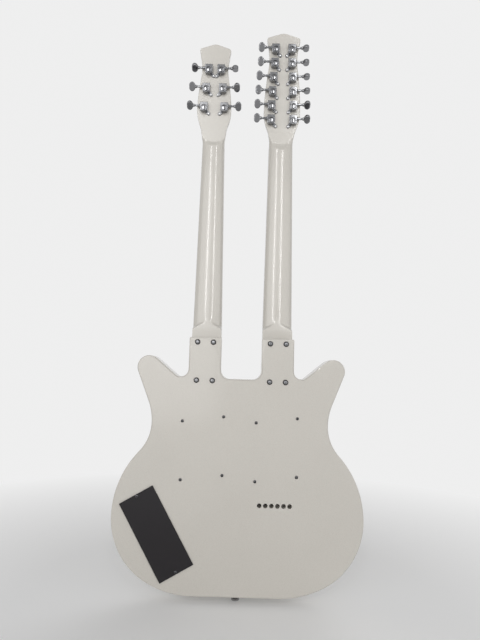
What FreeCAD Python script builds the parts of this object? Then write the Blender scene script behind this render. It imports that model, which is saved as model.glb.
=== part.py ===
import FreeCAD, Part
import Sketcher
import math
import operator
import os
from types import SimpleNamespace
from FreeCAD import Placement, Rotation, Vector

# Double-neck electric guitar. The six-string neck is at -X and the twelve-string neck at +X.
# +Z runs up along the necks, the back faces -Y and the strings face +Y. The origin is the
# seat of the end strap button, in the middle of the bottom rim.

SIZES = {
    # Body outline
    "body_depth": 42.0,
    "sheet_thickness": 3.2,
    "rim_ease": 2.0,
    "bottom_flat_half": 72.0,
    "bottom_radius": 172.0,
    "bout_half": 217.8,
    "bout_height": 130.0,
    "bout_radius": 162.0,
    "waist_half": 154.5,
    "waist_height": 291.0,
    "waist_radius": 97.0,
    "horn_radius": 20.6,
    "horn_centre_x": 163.1,
    "horn_centre_z": 387.0,
    "scoop_radius": 14.0,
    "scoop_low_z": 371.5,
    "gap_low_z": 369.0,
    "gap_radius": 16.0,
    # Necks
    "neck_pitch": 129.2,
    "tongue_width": 57.0,
    "tongue_top_z": 442.0,
    "tongue_corner": 3.0,
    "heel_end_z": 352.0,
    "heel_ledge_y": 5.0,
    "heel_top_z": 456.0,
    "neck_front_y": 24.0,
    "pocket_gap": 0.2,
    "board_thickness": 6.0,
    "board_end_z": 358.0,
    "scale_length": 635.0,
    "saddle_z": 177.0,
    "board_end_width": 56.2,
    "nut_width_six": 42.0,
    "nut_width_twelve": 45.0,
    "neck_back_at_nut_y": 7.2,
    "neck_back_at_heel_y": 6.6,
    "neck_side": 4.0,
    "nut_thickness": 5.0,
    "nut_rise": 2.2,
    "fret_width": 2.4,
    "fret_rise": 1.0,
    "fret_overhang": 0.6,
    # Heads
    "head_tilt": 6.0,
    "head_thickness": 12.0,
    "head_step": 1.0,
    "blend_inset": 0.1,
    "head_length_six": 191.0,
    "head_length_twelve": 215.0,
    "head_half_six": 32.3,
    "head_half_twelve": 34.2,
    # Tuners
    "tuner_pitch_six": 35.6,
    "tuner_pitch_twelve": 26.7,
    "tuner_first_six": 67.0,
    "tuner_first_twelve": 46.5,
    "post_radius": 3.0,
    "post_rise": 14.0,
    "post_depth_in_housing": 4.0,
    "post_gap": 0.3,
    "running_gap": 0.05,
    "housing_width": 14.5,
    "housing_above": 11.3,
    "housing_below": 6.5,
    "housing_depth": 9.0,
    "cap_radius": 6.4,
    "cap_rise": 2.6,
    "ear_inset": 8.9,
    "ear_drop": 8.2,
    "ear_radius": 3.1,
    "ear_thickness": 2.4,
    "ear_screw_radius": 1.9,
    "ear_screw_rise": 1.2,
    "nut_hex_across": 11.0,
    "nut_hex_thickness": 2.4,
    "shaft_radius": 2.1,
    "shaft_offset": 5.4,
    "shaft_level": 5.0,
    "shaft_seat": 3.4,
    "shaft_length": 13.4,
    "button_length": 12.7,
    "button_width": 17.0,
    "button_thickness": 6.4,
    # Screws and holes
    "neck_screw_pitch": 28.0,
    "neck_screw_upper_z": 433.4,
    "neck_screw_lower_z": 365.8,
    "neck_screw_radius": 2.1,
    "neck_screw_length": 38.0,
    "neck_pilot_depth": 13.0,
    "cup_radius": 4.9,
    "cup_height": 1.6,
    "screw_head_radius": 3.9,
    "screw_head_height": 2.4,
    "screw_gap": 0.25,
    "pickup_screw_radius": 1.5,
    "pickup_screw_head_radius": 2.7,
    "pickup_screw_head_height": 1.7,
    "pickup_screw_span": 36.0,
    "pickup_screw_stagger": 4.5,
    "string_hole_radius": 3.9,
    "string_hole_z": 153.5,
    "string_hole_pitch": 10.5,
    "string_bore": 1.4,
    # Pickups
    "neck_pickup_z": 298.8,
    "bridge_pickup_z": 198.3,
    "pickup_length": 88.0,
    "pickup_width": 18.0,
    "pickup_height": 10.0,
    "pickup_lift": 0.6,
    "pickup_slot_length": 78.0,
    "pickup_slot_width": 13.0,
    # Bridges and strings
    "bridge_width": 76.0,
    "bridge_length": 38.0,
    "bridge_margin": 4.0,
    "bridge_thickness": 1.8,
    "bridge_flange": 9.0,
    "saddle_width": 9.6,
    "saddle_length": 14.0,
    "saddle_height": 11.2,
    "bridge_spread": 52.5,
    "nut_spread_six": 35.0,
    "nut_spread_twelve": 37.0,
    "pair_gap": 2.4,
    "string_radius": 0.6,
    "flange_hole_rise": 5.4,
    "wrap_height": 5.0,
    "string_start_y": -14.0,
    "string_clear": 0.35,
    # Controls
    "cover_length": 150.0,
    "cover_width": 65.0,
    "cover_thickness": 2.0,
    "cover_centre_x": -138.6,
    "cover_centre_z": 102.15,
    "cover_turn": 30.0,
    "cover_screw_span": 71.7,
    "cover_screw_head_radius": 3.0,
    "cover_screw_head_height": 1.1,
    "cover_screw_radius": 1.2,
    "cover_screw_length": 12.0,
    "cavity_length": 132.0,
    "cavity_width": 46.0,
    "control_pitch": 27.0,
    "knob_radius": 12.5,
    "knob_height": 16.0,
    "knob_lift": 0.6,
    "pot_radius": 8.5,
    "pot_height": 10.0,
    "pot_shaft_radius": 3.0,
    "bush_radius": 4.2,
    "bush_rise": 3.4,
    "lever_radius": 1.5,
    "lever_length": 15.0,
    "lever_ball": 2.6,
    "lever_pin_radius": 1.5,
    "lever_pivot_half": 2.2,
    "lever_pivot_radius": 2.75,
    "switch_width": 9.0,
    "switch_depth": 16.0,
    "jack_flange_radius": 9.0,
    "jack_flange": 1.6,
    "jack_barrel_radius": 5.8,
    "jack_bore": 3.2,
    "jack_depth": 24.0,
    # Strap buttons
    "strap_base_radius": 6.0,
    "strap_rise": 11.0,
    "strap_waist_radius": 3.6,
    "strap_rim_radius": 7.2,
    "strap_screw_radius": 2.0,
    "strap_screw_length": 26.0,
    # All cuts run past the face they leave by this much
    "overrun": 1.0,
}

doc = FreeCAD.newDocument("DoubleNeckGuitar")
sheet = doc.addObject("Spreadsheet::Sheet", "Sizes")


class Size:
    """A number together with the formula that gives it in the sheet."""

    def __init__(self, number, formula):
        self.number = float(number)
        self.formula = formula

    def __float__(self):
        return self.number

    def join(self, sign, action, other, swapped=False):
        if not isinstance(other, Size):
            other = Size(other, repr(float(other)))
        first, second = (other, self) if swapped else (self, other)
        number = action(first.number, second.number)
        return Size(number, f"({first.formula} {sign} {second.formula})")

    def __add__(self, other):
        return self.join("+", operator.add, other)

    def __radd__(self, other):
        return self.join("+", operator.add, other, swapped=True)

    def __sub__(self, other):
        return self.join("-", operator.sub, other)

    def __rsub__(self, other):
        return self.join("-", operator.sub, other, swapped=True)

    def __mul__(self, other):
        return self.join("*", operator.mul, other)

    def __rmul__(self, other):
        return self.join("*", operator.mul, other, swapped=True)

    def __truediv__(self, other):
        return self.join("/", operator.truediv, other)

    def __neg__(self):
        return self.join("*", operator.mul, -1.0)


def root_of(size):
    return Size(math.sqrt(size.number), f"sqrt({size.formula})")


cells = []


def keep(name, text, number):
    """Puts one named cell in the sheet and gives it back as a Size."""
    cells.append(name)
    cell = f"B{len(cells)}"
    sheet.set(f"A{len(cells)}", name)
    sheet.set(cell, text)
    sheet.setAlias(cell, name)
    return Size(number, f"{sheet.Name}.{name}")


def derive(name, size):
    """A cell worked out from other cells, so that long formulas stay short."""
    formula = size.formula.replace(f"{sheet.Name}.", "")
    return keep(name, f"={formula}", size.number)


S = SimpleNamespace(**{name: keep(name, str(number), number) for name, number in SIZES.items()})


def bind(thing, **sizes):
    """Ties properties of an object to the sheet."""
    for name, size in sizes.items():
        if isinstance(size, Size):
            thing.setExpression(name, size.formula)
        else:
            setattr(thing, name, size)
    return thing


def plane_of(body, role):
    for feature in body.Origin.OriginFeatures:
        if feature.Role == role:
            return feature


def sketch_on(body, name, role="XZ_Plane", level=0.0):
    """An empty sketch on a plane of the body's own origin, level mm along the plane's normal."""
    sketch = body.newObject("Sketcher::SketchObject", name)
    sketch.AttachmentSupport = [(plane_of(body, role), "")]
    sketch.MapMode = "FlatFace"
    if isinstance(level, Size):
        sketch.setExpression("AttachmentOffset.Base.z", level.formula)
    return sketch


def fix(sketch, kind, where, size):
    """One constraint, bound to the sheet when its size is named."""
    index = sketch.addConstraint(Sketcher.Constraint(kind, *where, float(size)))
    if isinstance(size, Size):
        sketch.setExpression(f"Constraints[{index}]", size.formula)


def place_point(sketch, edge, end, point):
    """Holds one end of an edge at a point of the sketch plane."""
    for kind, size, axis in (("DistanceX", point[0], -2), ("DistanceY", point[1], -1)):
        if float(size) == 0.0:
            sketch.addConstraint(Sketcher.Constraint("PointOnObject", edge, end, axis))
        else:
            fix(sketch, kind, (edge, end), size)


def flat(point):
    return Vector(float(point[0]), float(point[1]), 0)


def arc_between(start, end, radius, turn):
    """The arc shorter than a half circle; turn is 1 when it runs anticlockwise."""
    a = flat(start)
    b = flat(end)
    chord = b - a
    half = chord.Length / 2
    rise = math.sqrt(max(float(radius) ** 2 - half ** 2, 0.0))
    side = Vector(-chord.y, chord.x, 0).normalize()
    centre = (a + b) / 2 + side * rise * turn
    middle = centre - side * turn * float(radius)
    return Part.Arc(a, middle, b)


def draw(sketch, start, *steps):
    """A closed outline. A step is (point,) for a line, or (point, radius, turn) for an arc.

    An arc of a sketch always runs anticlockwise, so a clockwise step ends at its start vertex.
    """
    here = start
    edges = []
    for point, *arc in steps:
        if arc:
            edge = sketch.addGeometry(arc_between(here, point, *arc))
        else:
            edge = sketch.addGeometry(Part.LineSegment(flat(here), flat(point)))
        clockwise = bool(arc) and arc[1] < 0
        edges.append((edge, 2, 1) if clockwise else (edge, 1, 2))
        here = point
    for number, (edge, begin, end) in enumerate(edges):
        following, following_begin, following_end = edges[(number + 1) % len(edges)]
        sketch.addConstraint(
            Sketcher.Constraint("Coincident", edge, end, following, following_begin))
        place_point(sketch, edge, end, steps[number][0])
        if len(steps[number]) > 1:
            fix(sketch, "Radius", (edge,), steps[number][1])
    return sketch


def draw_circle(sketch, centre, radius):
    circle = sketch.addGeometry(Part.Circle(flat(centre), Vector(0, 0, 1), float(radius)))
    place_point(sketch, circle, 3, centre)
    fix(sketch, "Radius", (circle,), radius)


def new_body(label):
    body = doc.addObject("PartDesign::Body", label)
    body.Label = label
    return body


def pad(body, name, sketch, length, towards_front=True):
    """Pads a sketch of the XZ plane; its normal looks at -Y, so the front is the reversed way."""
    feature = body.newObject("PartDesign::Pad", name)
    feature.Profile = sketch
    feature.Reversed = towards_front
    return bind(feature, Length=length)


def pocket(body, name, sketch, length, towards_front=True):
    """A pocket cuts against its sketch's normal, which is towards +Y for the XZ plane."""
    feature = body.newObject("PartDesign::Pocket", name)
    feature.Profile = sketch
    feature.Reversed = not towards_front
    return bind(feature, Length=length)



def cross_line(name, first, first_radius, second, second_radius, side):
    """The straight line that passes between two circles and touches both: its two ends."""
    run = second[0] - first[0]
    rise = second[1] - first[1]
    apart = derive(f"{name}_apart", root_of(run * run + rise * rise))
    near = derive(f"{name}_near", (first_radius + second_radius) / apart)
    far = derive(f"{name}_far", root_of(1.0 - near * near) * side)
    across = derive(f"{name}_across", (run * near - rise * far) / apart)
    along = derive(f"{name}_along", (rise * near + run * far) / apart)
    start = (first[0] + across * first_radius, first[1] + along * first_radius)
    end = (second[0] - across * second_radius, second[1] - along * second_radius)
    return start, end


# Body outline, right half. Every arc runs on into the next one without a corner: the lower
# bout is two arcs, the waist is a tight arc and a slower one, and a straight line leads to
# the round horn, down again to the scoop and up the side of the tongue.
neck_x = S.neck_pitch / 2
tongue_in = derive("tongue_in", (S.neck_pitch - S.tongue_width) / 2)
tongue_out = derive("tongue_out", (S.neck_pitch + S.tongue_width) / 2)
bottom_rise = S.bottom_radius - S.bout_height
bottom_run = S.bottom_radius + S.bottom_flat_half - S.bout_half
corner_shift = derive("corner_shift", (bottom_rise * bottom_rise + bottom_run * bottom_run)
                      / (2.0 * bottom_run))
corner_radius = derive("corner_radius", S.bottom_radius - corner_shift)
corner_x = derive("corner_x", S.bottom_flat_half
                  + S.bottom_radius * (corner_shift - bottom_run) / corner_shift)
corner_z = derive("corner_z", S.bottom_radius * (1.0 - bottom_rise / corner_shift))

bout_centre_x = S.bout_half - S.bout_radius
waist_climb = S.waist_height - S.bout_height
waist_inset = S.waist_half - bout_centre_x
low_waist_radius = derive("low_waist_radius", (waist_inset * waist_inset + waist_climb * waist_climb
                          - S.bout_radius * S.bout_radius) / (2.0 * (S.bout_radius - waist_inset)))
bout_share = derive("bout_share", S.bout_radius / (S.bout_radius + low_waist_radius))
bend_x = derive("bend_x", bout_centre_x + (waist_inset + low_waist_radius) * bout_share)
bend_z = derive("bend_z", S.bout_height + waist_climb * bout_share)

horn = (S.horn_centre_x, S.horn_centre_z)
waist_centre = (S.waist_half + S.waist_radius, S.waist_height)
scoop = (tongue_out + S.scoop_radius, S.scoop_low_z + S.scoop_radius)
flank_start, flank_end = cross_line("flank", waist_centre, S.waist_radius, horn, S.horn_radius, 1.0)
brow_start, brow_end = cross_line("brow", horn, S.horn_radius, scoop, S.scoop_radius, -1.0)
gap_corner_x = tongue_in - S.gap_radius
gap_corner_z = S.gap_low_z + S.gap_radius


def body_outline(sketch):
    """The whole outline, anticlockwise in the sketch: up the right side, then down the left."""
    horn_top = (horn[0], horn[1] + S.horn_radius)
    horn_side = (horn[0] + S.horn_radius, horn[1])
    scoop_low = (scoop[0], S.scoop_low_z)
    right = [
        ((S.bottom_flat_half, 0.0),),
        ((corner_x, corner_z), S.bottom_radius, 1),
        ((S.bout_half, S.bout_height), corner_radius, 1),
        ((bend_x, bend_z), S.bout_radius, 1),
        ((S.waist_half, S.waist_height), low_waist_radius, -1),
        (flank_start, S.waist_radius, -1),
        (flank_end,),
        (horn_side, S.horn_radius, 1),
        (horn_top, S.horn_radius, 1),
        (brow_start, S.horn_radius, 1),
        (brow_end,),
        (scoop_low, S.scoop_radius, -1),
        ((tongue_out, scoop[1]), S.scoop_radius, -1),
        ((tongue_out, S.tongue_top_z - S.tongue_corner),),
        ((tongue_out - S.tongue_corner, S.tongue_top_z), S.tongue_corner, 1),
        ((tongue_in + S.tongue_corner, S.tongue_top_z),),
        ((tongue_in, S.tongue_top_z - S.tongue_corner), S.tongue_corner, 1),
        ((tongue_in, gap_corner_z),),
        ((gap_corner_x, S.gap_low_z), S.gap_radius, -1),
    ]
    steps = list(right)
    places = [step[0] for step in right]
    for number in range(len(right) - 1, -1, -1):
        x, z = places[number]
        arc = right[number + 1][1:] if number + 1 < len(right) else ()
        steps.append(((-x, z), *arc))
    return draw(sketch, (-S.bottom_flat_half, 0.0), *steps)


def body_layer(label, back_y, front_y):
    """One layer of the body between two depths."""
    body = new_body(label)
    sketch = body_outline(sketch_on(body, f"{label}_outline", level=-back_y))
    pad(body, f"{label}_thickness", sketch, front_y - back_y)
    return body


back_y = -(S.body_depth / 2)
front_y = S.body_depth / 2
core_back_y = back_y + S.sheet_thickness
core_front_y = front_y - S.sheet_thickness
ledge_y = S.heel_ledge_y

body_core = body_layer("body_core", core_back_y, core_front_y)
body_back = body_layer("body_back", back_y, core_back_y)
body_top = body_layer("body_top", core_front_y, front_y)


def cosine(size):
    return Size(math.cos(math.radians(size.number)), f"cos({size.formula})")


def sine(size):
    return Size(math.sin(math.radians(size.number)), f"sin({size.formula})")


def ease_rim(body, name, face_y, size):
    """Breaks the outer edge of one face; made while the face has no holes yet."""
    doc.recompute()
    tip = body.Tip
    names = []
    for number, edge in enumerate(tip.Shape.Edges, start=1):
        box = edge.BoundBox
        if abs(box.YMin - float(face_y)) < 1e-4 and abs(box.YMax - float(face_y)) < 1e-4:
            names.append(f"Edge{number}")
    chamfer = body.newObject("PartDesign::Chamfer", name)
    chamfer.Base = (tip, names)
    bind(chamfer, Size=size)
    body.Tip = chamfer


def eight_sides(centre, radius):
    """The corners of an eight-sided hole whose flat sides stand at the radius."""
    corners = []
    for number in range(HOLE_SIDES):
        angle = math.pi * (2 * number + 1) / HOLE_SIDES
        reach = 1.0 / math.cos(math.pi / HOLE_SIDES)
        corners.append((centre[0] + radius * (reach * math.cos(angle)),
                        centre[1] + radius * (reach * math.sin(angle))))
    return corners


def drill(body, name, centres, radius, from_y, to_y):
    """Eight-sided holes from one depth to another, the one nearer to the back first."""
    sketch = sketch_on(body, f"{name}_places", level=-from_y)
    for centre in centres:
        corners = eight_sides(centre, radius)
        draw(sketch, corners[-1], *[(corner,) for corner in corners])
    pocket(body, name, sketch, to_y - from_y)


def cut_outlines(body, name, outlines, from_y, to_y):
    """Straight-sided cuts from one depth to another, all in one sketch."""
    sketch = sketch_on(body, f"{name}_outline", level=-from_y)
    for corners in outlines:
        draw(sketch, corners[-1], *[(corner,) for corner in corners])
    pocket(body, name, sketch, to_y - from_y)


def slot_round(centre, length, width):
    """The corners of a straight slot, level on the body, round a centre."""
    x, z = centre
    return [(x - length / 2, z - width / 2), (x + length / 2, z - width / 2),
            (x + length / 2, z + width / 2), (x - length / 2, z + width / 2)]


def mirrored_pairs(centre, half_x, z_values):
    return [(centre + side * half_x, z) for side in (-1.0, 1.0) for z in z_values]


# Places that several pieces share
neck_screws = []
pickup_screws = []
pickup_places = []
neck_pockets = []
for side in (-1.0, 1.0):
    centre = side * neck_x
    neck_screws += mirrored_pairs(centre, S.neck_screw_pitch / 2,
                                  (S.neck_screw_upper_z, S.neck_screw_lower_z))
    for z in (S.neck_pickup_z, S.bridge_pickup_z):
        pickup_places.append((centre, z))
        pickup_screws.append((centre - S.pickup_screw_span, z - S.pickup_screw_stagger))
        pickup_screws.append((centre + S.pickup_screw_span, z + S.pickup_screw_stagger))
    half = S.tongue_width / 2
    low = S.heel_end_z - S.pocket_gap
    high = S.tongue_top_z + S.overrun
    neck_pockets.append([(centre - half, low), (centre + half, low),
                         (centre + half, high), (centre - half, high)])

COURSES = 6
STRING_PITCHES = COURSES - 1
HOLE_SIDES = 8
ROUND_SIDES = 12
KNOB_SIDES = 18
string_holes = []
for number in range(COURSES):
    shift = (number - STRING_PITCHES / 2) * S.string_hole_pitch
    string_holes.append((neck_x - S.pair_gap / 2 + shift, S.string_hole_z))

# The control cavity and its cover lean to the left by the cover's turn
lean_x = derive("lean_x", -sine(S.cover_turn))
lean_z = derive("lean_z", cosine(S.cover_turn))


def on_cover(along, across):
    """A point given along and across the cover's long axis."""
    return (S.cover_centre_x + along * lean_x + across * lean_z,
            S.cover_centre_z + along * lean_z - across * lean_x)


def cover_corners(length, width):
    half_length = length / 2
    half_width = width / 2
    return [on_cover(-half_length, -half_width), on_cover(-half_length, half_width),
            on_cover(half_length, half_width), on_cover(half_length, -half_width)]


cover_screws = [on_cover(S.cover_screw_span, 0.0), on_cover(-S.cover_screw_span, 0.0)]
control_names = ("pickup_switch", "neck_switch", "volume_knob", "tone_knob", "output_jack")
control_places = {}
for number, name in enumerate(control_names):
    control_places[name] = on_cover((2.0 - number) * S.control_pitch, 0.0)

neck_hole = S.neck_screw_radius + S.screw_gap
pickup_hole = S.pickup_screw_radius + S.screw_gap
cover_hole = S.cover_screw_radius + S.screw_gap
past_back_y = back_y - S.overrun
past_front_y = front_y + S.overrun

# The back sheet, its eased rim, and every hole that shows from behind
cavity = cover_corners(S.cavity_length, S.cavity_width)
pickup_slots = [slot_round(place, S.pickup_slot_length, S.pickup_slot_width)
                for place in pickup_places]
string_slot = slot_round((neck_x - S.pair_gap / 2, S.string_hole_z),
                         STRING_PITCHES * S.string_hole_pitch + S.string_hole_radius * 2,
                         S.string_hole_radius * 2)
ease_rim(body_back, "back_rim", back_y, S.rim_ease)
drill(body_back, "back_neck_holes", neck_screws, neck_hole, past_back_y, core_back_y)
drill(body_back, "back_pickup_holes", pickup_screws, pickup_hole, past_back_y, core_back_y)
drill(body_back, "back_string_holes", string_holes, S.string_hole_radius, past_back_y, core_back_y)
drill(body_back, "back_cover_holes", cover_screws, cover_hole, past_back_y, core_back_y)
cut_outlines(body_back, "back_cavity", [cavity], past_back_y, core_back_y)

# The frame inside: neck pockets down to the ledge, the control cavity, and a slot under
# each pickup and under the string holes
drill(body_core, "core_neck_holes", neck_screws, neck_hole, core_back_y, core_front_y)
drill(body_core, "core_cover_holes", cover_screws, cover_hole, core_back_y, core_front_y)
cut_outlines(body_core, "core_slots", [cavity, string_slot] + pickup_slots,
             core_back_y, core_front_y)
cut_outlines(body_core, "core_pockets", neck_pockets, ledge_y, core_front_y)

# The top sheet
ease_rim(body_top, "top_rim", front_y, S.rim_ease)
cut_outlines(body_top, "top_pockets", neck_pockets + pickup_slots, core_front_y, past_front_y)
drill(body_top, "top_string_holes", string_holes, S.string_bore, core_front_y, past_front_y)
for name, place in control_places.items():
    radius = S.jack_barrel_radius if name == "output_jack" else S.bush_radius
    drill(body_top, f"top_{name}_hole", [place], radius + S.screw_gap, core_front_y, past_front_y)

# The cover plate lies on the back sheet
control_cover = new_body("control_cover")
sketch = sketch_on(control_cover, "cover_outline", level=-(back_y - S.cover_thickness))
corners = cover_corners(S.cover_length, S.cover_width)
draw(sketch, corners[-1], *[(corner,) for corner in corners])
pad(control_cover, "cover_plate", sketch, S.cover_thickness)
drill(control_cover, "cover_holes", cover_screws, cover_hole, past_back_y - S.cover_thickness, back_y)

# Necks. Each is one piece of wood: a square heel that sits in the pocket, a D-shaped shaft
# that tapers to the nut, and a head that leans back by the head tilt.
nut_z = S.saddle_z + S.scale_length
# Left half of a neck's cross-section, from the side down to the middle of the back: each row is
# a share of the half width and of the depth below the straight sides
ROUND_SHARES = ((1.0, 0.0), (0.965, 0.330), (0.845, 0.620), (0.640, 0.850), (0.350, 0.975))
SQUARE_SHARES = ((1.0, 0.0), (1.0, 0.400), (1.0, 0.800), (0.920, 1.0), (0.420, 1.0))
HEEL_BLEND_SHARE = 0.045
HEAD_BLEND_SHARE = 0.023
# How far each slope at the nut runs on past its two ends, as shares of its own length
RAMP_SHARES = (-0.5, 1.1)
heel_blend_z = S.heel_top_z + S.scale_length * HEEL_BLEND_SHARE
head_blend = S.scale_length * HEAD_BLEND_SHARE

# Right half of each head from the nut end to the tip. Each row is one step: half width and
# height as shares of the head's own, then the arc's radius as a share of the height and its
# turn; a row without an arc is straight.
HEAD_SIX_SHARES = (
    (0.705, 0.100, 0.45, -1), (0.846, 0.203, 0.34, -1), (1.000, 0.372, 0.38, 1),
    (0.915, 0.545, 1.30, 1), (0.812, 0.672), (0.766, 0.749, 0.40, -1), (0.812, 0.828, 0.40, -1),
    (0.895, 0.920), (0.822, 0.960, 0.030, 1), (0.175, 0.9954), (0.0, 1.0, 0.114, 1),
)
HEAD_TWELVE_SHARES = (
    (0.690, 0.089, 0.40, -1), (0.815, 0.158, 0.34, -1), (1.000, 0.350, 0.38, 1),
    (0.960, 0.485, 1.30, 1), (0.860, 0.640), (0.775, 0.755, 0.55, -1), (0.822, 0.860, 0.55, -1),
    (0.920, 0.935), (0.850, 0.963, 0.028, 1), (0.178, 0.9958), (0.0, 1.0, 0.107, 1),
)
HEAD_START_SHARES = {"six": (0.672, 0.066), "twelve": (0.655, 0.060)}


def board_half(nut_width, z):
    """Half the width of neck and board at a height; both taper in a straight line."""
    fall = (nut_z - z) / (nut_z - S.board_end_z)
    return nut_width / 2 + (S.board_end_width - nut_width) / 2 * fall


def head_y(z):
    """Depth of the head's front face at a height."""
    return S.neck_front_y - S.head_step - (z - nut_z) * sine(S.head_tilt) / cosine(S.head_tilt)


def head_back_y(z):
    """Depth just inside the head's back face at a height."""
    return head_y(z) - S.head_thickness / cosine(S.head_tilt) + S.blend_inset


def ramp(body, name, low, high):
    """Cuts a slope across the neck through two points of its side view, each a depth and height."""
    sketch = sketch_on(body, f"{name}_line", role="YZ_Plane")
    first, last = [tuple(a + (b - a) * share for a, b in zip(low, high)) for share in RAMP_SHARES]
    draw(sketch, (first[0], last[1]), (first,), (last,), ((first[0], last[1]),))
    feature = pocket(body, name, sketch, S.neck_pitch * 2.0)
    feature.Midplane = True


def shaft_section(body, name, centre, z, half, section_back_y, kind):
    """One cross-section of the neck. All have as many edges, so a square one lofts into a round one."""
    sketch = sketch_on(body, name, role="XY_Plane", level=z)
    front = head_y(z) - S.blend_inset if kind == "head" else S.neck_front_y
    side = front - S.neck_side
    drop = side - section_back_y
    shares = ROUND_SHARES if kind == "shaft" else SQUARE_SHARES
    left = [(centre - half * across, side - drop * down) for across, down in shares]
    right = [(centre + half * across, side - drop * down) for across, down in reversed(shares)]
    corners = left + right + [(centre + half, front), (centre - half, front)]
    return draw(sketch, corners[-1], *[(corner,) for corner in corners])


def loft(body, name, first, second):
    feature = body.newObject("PartDesign::AdditiveLoft", name)
    feature.Profile = first
    feature.Sections = [second]
    feature.Ruled = True
    return feature


def head_sketch(body, name):
    """A sketch on the front face of the head; its Y runs up the head from the nut."""
    sketch = body.newObject("Sketcher::SketchObject", name)
    sketch.AttachmentSupport = [(plane_of(body, "XZ_Plane"), "")]
    sketch.MapMode = "FlatFace"
    sketch.AttachmentOffset = Placement(Vector(), Rotation(Vector(1, 0, 0), float(S.head_tilt)))
    return bind(sketch, **{"AttachmentOffset.Rotation.Angle": S.head_tilt,
                           "AttachmentOffset.Base.y": nut_z,
                           "AttachmentOffset.Base.z": S.head_step - S.neck_front_y})


def make_neck(label, centre, nut_width, length, head_half, shares):
    body = new_body(f"neck_{label}")
    heel_back_y = S.heel_ledge_y
    low_half = board_half(nut_width, S.heel_end_z)
    top_half = board_half(nut_width, S.heel_top_z)
    heel = sketch_on(body, f"heel_{label}", level=-heel_back_y)
    draw(heel, (centre - low_half, S.heel_end_z),
         ((centre + low_half, S.heel_end_z),), ((centre + top_half, S.heel_top_z),),
         ((centre - top_half, S.heel_top_z),), ((centre - low_half, S.heel_end_z),))
    pad(body, f"heel_block_{label}", heel, S.neck_front_y - heel_back_y)
    blend_half = board_half(nut_width, heel_blend_z)
    square = shaft_section(body, f"heel_end_{label}", centre, S.heel_top_z, top_half,
                           heel_back_y, "heel")
    thick = shaft_section(body, f"shaft_low_{label}", centre, heel_blend_z, blend_half,
                          S.neck_back_at_heel_y, "shaft")
    start_share = HEAD_START_SHARES[label]
    start_z = nut_z + head_blend
    thin = shaft_section(body, f"shaft_high_{label}", centre, start_z, nut_width / 2,
                         S.neck_back_at_nut_y, "shaft")
    loft(body, f"heel_blend_{label}", square, thick)
    loft(body, f"shaft_{label}", thick, thin)
    nut_end_z = nut_z + S.nut_thickness
    ramp(body, f"back_ramp_{label}", (S.neck_back_at_nut_y, nut_z), (head_back_y(start_z), start_z))
    ramp(body, f"front_ramp_{label}", (S.neck_front_y, nut_end_z),
         (head_y(start_z) - S.blend_inset, start_z))
    low = shaft_section(body, f"head_low_{label}", centre, nut_end_z,
                        nut_width / 2 - S.blend_inset, head_back_y(nut_end_z), "shaft")
    flare = shaft_section(body, f"head_end_{label}", centre, start_z,
                          head_half * start_share[0] - S.blend_inset, head_back_y(start_z), "head")
    loft(body, f"head_blend_{label}", low, flare)
    head = head_sketch(body, f"head_{label}_outline")
    start = (centre - head_half * start_share[0], length * start_share[1])
    rows = [(start_share[0], start_share[1])] + list(shares)
    steps = []
    for x_share, s_share, *arc in rows:
        place = (centre + head_half * x_share, length * s_share)
        steps.append((place, length * arc[0], arc[1]) if arc else (place,))
    for number in range(len(rows) - 2, -1, -1):
        x_share, s_share = rows[number][:2]
        place = (centre - head_half * x_share, length * s_share)
        arc = rows[number + 1][2:]
        steps.append((place, length * arc[0], arc[1]) if arc else (place,))
    draw(head, start, *steps)
    pad(body, f"head_{label}", head, S.head_thickness, towards_front=False)
    return body


neck_six = make_neck("six", -neck_x, S.nut_width_six, S.head_length_six, S.head_half_six,
                     HEAD_SIX_SHARES)
neck_twelve = make_neck("twelve", neck_x, S.nut_width_twelve, S.head_length_twelve,
                        S.head_half_twelve, HEAD_TWELVE_SHARES)
for label, body, centre in (("six", neck_six, -neck_x), ("twelve", neck_twelve, neck_x)):
    places = [place for place in neck_screws if (place[0].number > 0) == (centre.number > 0)]
    drill(body, f"neck_{label}_screw_holes", places, S.neck_screw_radius + S.running_gap,
          S.heel_ledge_y - S.overrun, S.heel_ledge_y + S.neck_pilot_depth)

# Tuner places: across and up each head, from its centre and from the nut, mirrored left and
# right. The posts come closer together towards the tip, as the head does.
TUNER_SIX_SHARES = (0.594, 0.483, 0.359)
TUNER_TWELVE_SHARES = (0.608, 0.599, 0.561, 0.526, 0.471, 0.444)
NECKS = {
    "six": (neck_six, -neck_x, S.head_half_six, TUNER_SIX_SHARES, S.tuner_first_six,
            S.tuner_pitch_six),
    "twelve": (neck_twelve, neck_x, S.head_half_twelve, TUNER_TWELVE_SHARES,
               S.tuner_first_twelve, S.tuner_pitch_twelve),
}
tuners = []
for label, (body, centre, half, shares, first, pitch) in NECKS.items():
    for side in (-1.0, 1.0):
        for number, share in enumerate(shares):
            tuners.append((label, side, centre + side * half * share, first + pitch * float(number)))
    bores = head_sketch(body, f"head_{label}_bores")
    for tuner_label, side, x, along in tuners:
        if tuner_label == label:
            corners = eight_sides((x, along), S.post_radius + S.post_gap)
            draw(bores, corners[-1], *[(corner,) for corner in corners])
    pocket(body, f"head_{label}_bored", bores, S.head_thickness, towards_front=False)
    body.Tip.Refine = True


def primitive(kind, name, base=(0.0, 0.0, 0.0), axis="z", **sizes):
    """A Part box, cylinder or cone; base is its own corner or the middle of its first face."""
    thing = doc.addObject(f"Part::{kind}", name)
    turns = {"x": Rotation(Vector(0, 1, 0), 90), "y": Rotation(Vector(1, 0, 0), -90),
             "z": Rotation()}
    thing.Placement = Placement(Vector(*[float(value) for value in base]), turns[axis])
    for letter, value in zip("xyz", base):
        if isinstance(value, Size):
            thing.setExpression(f"Placement.Base.{letter}", value.formula)
    return bind(thing, **sizes)


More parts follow.
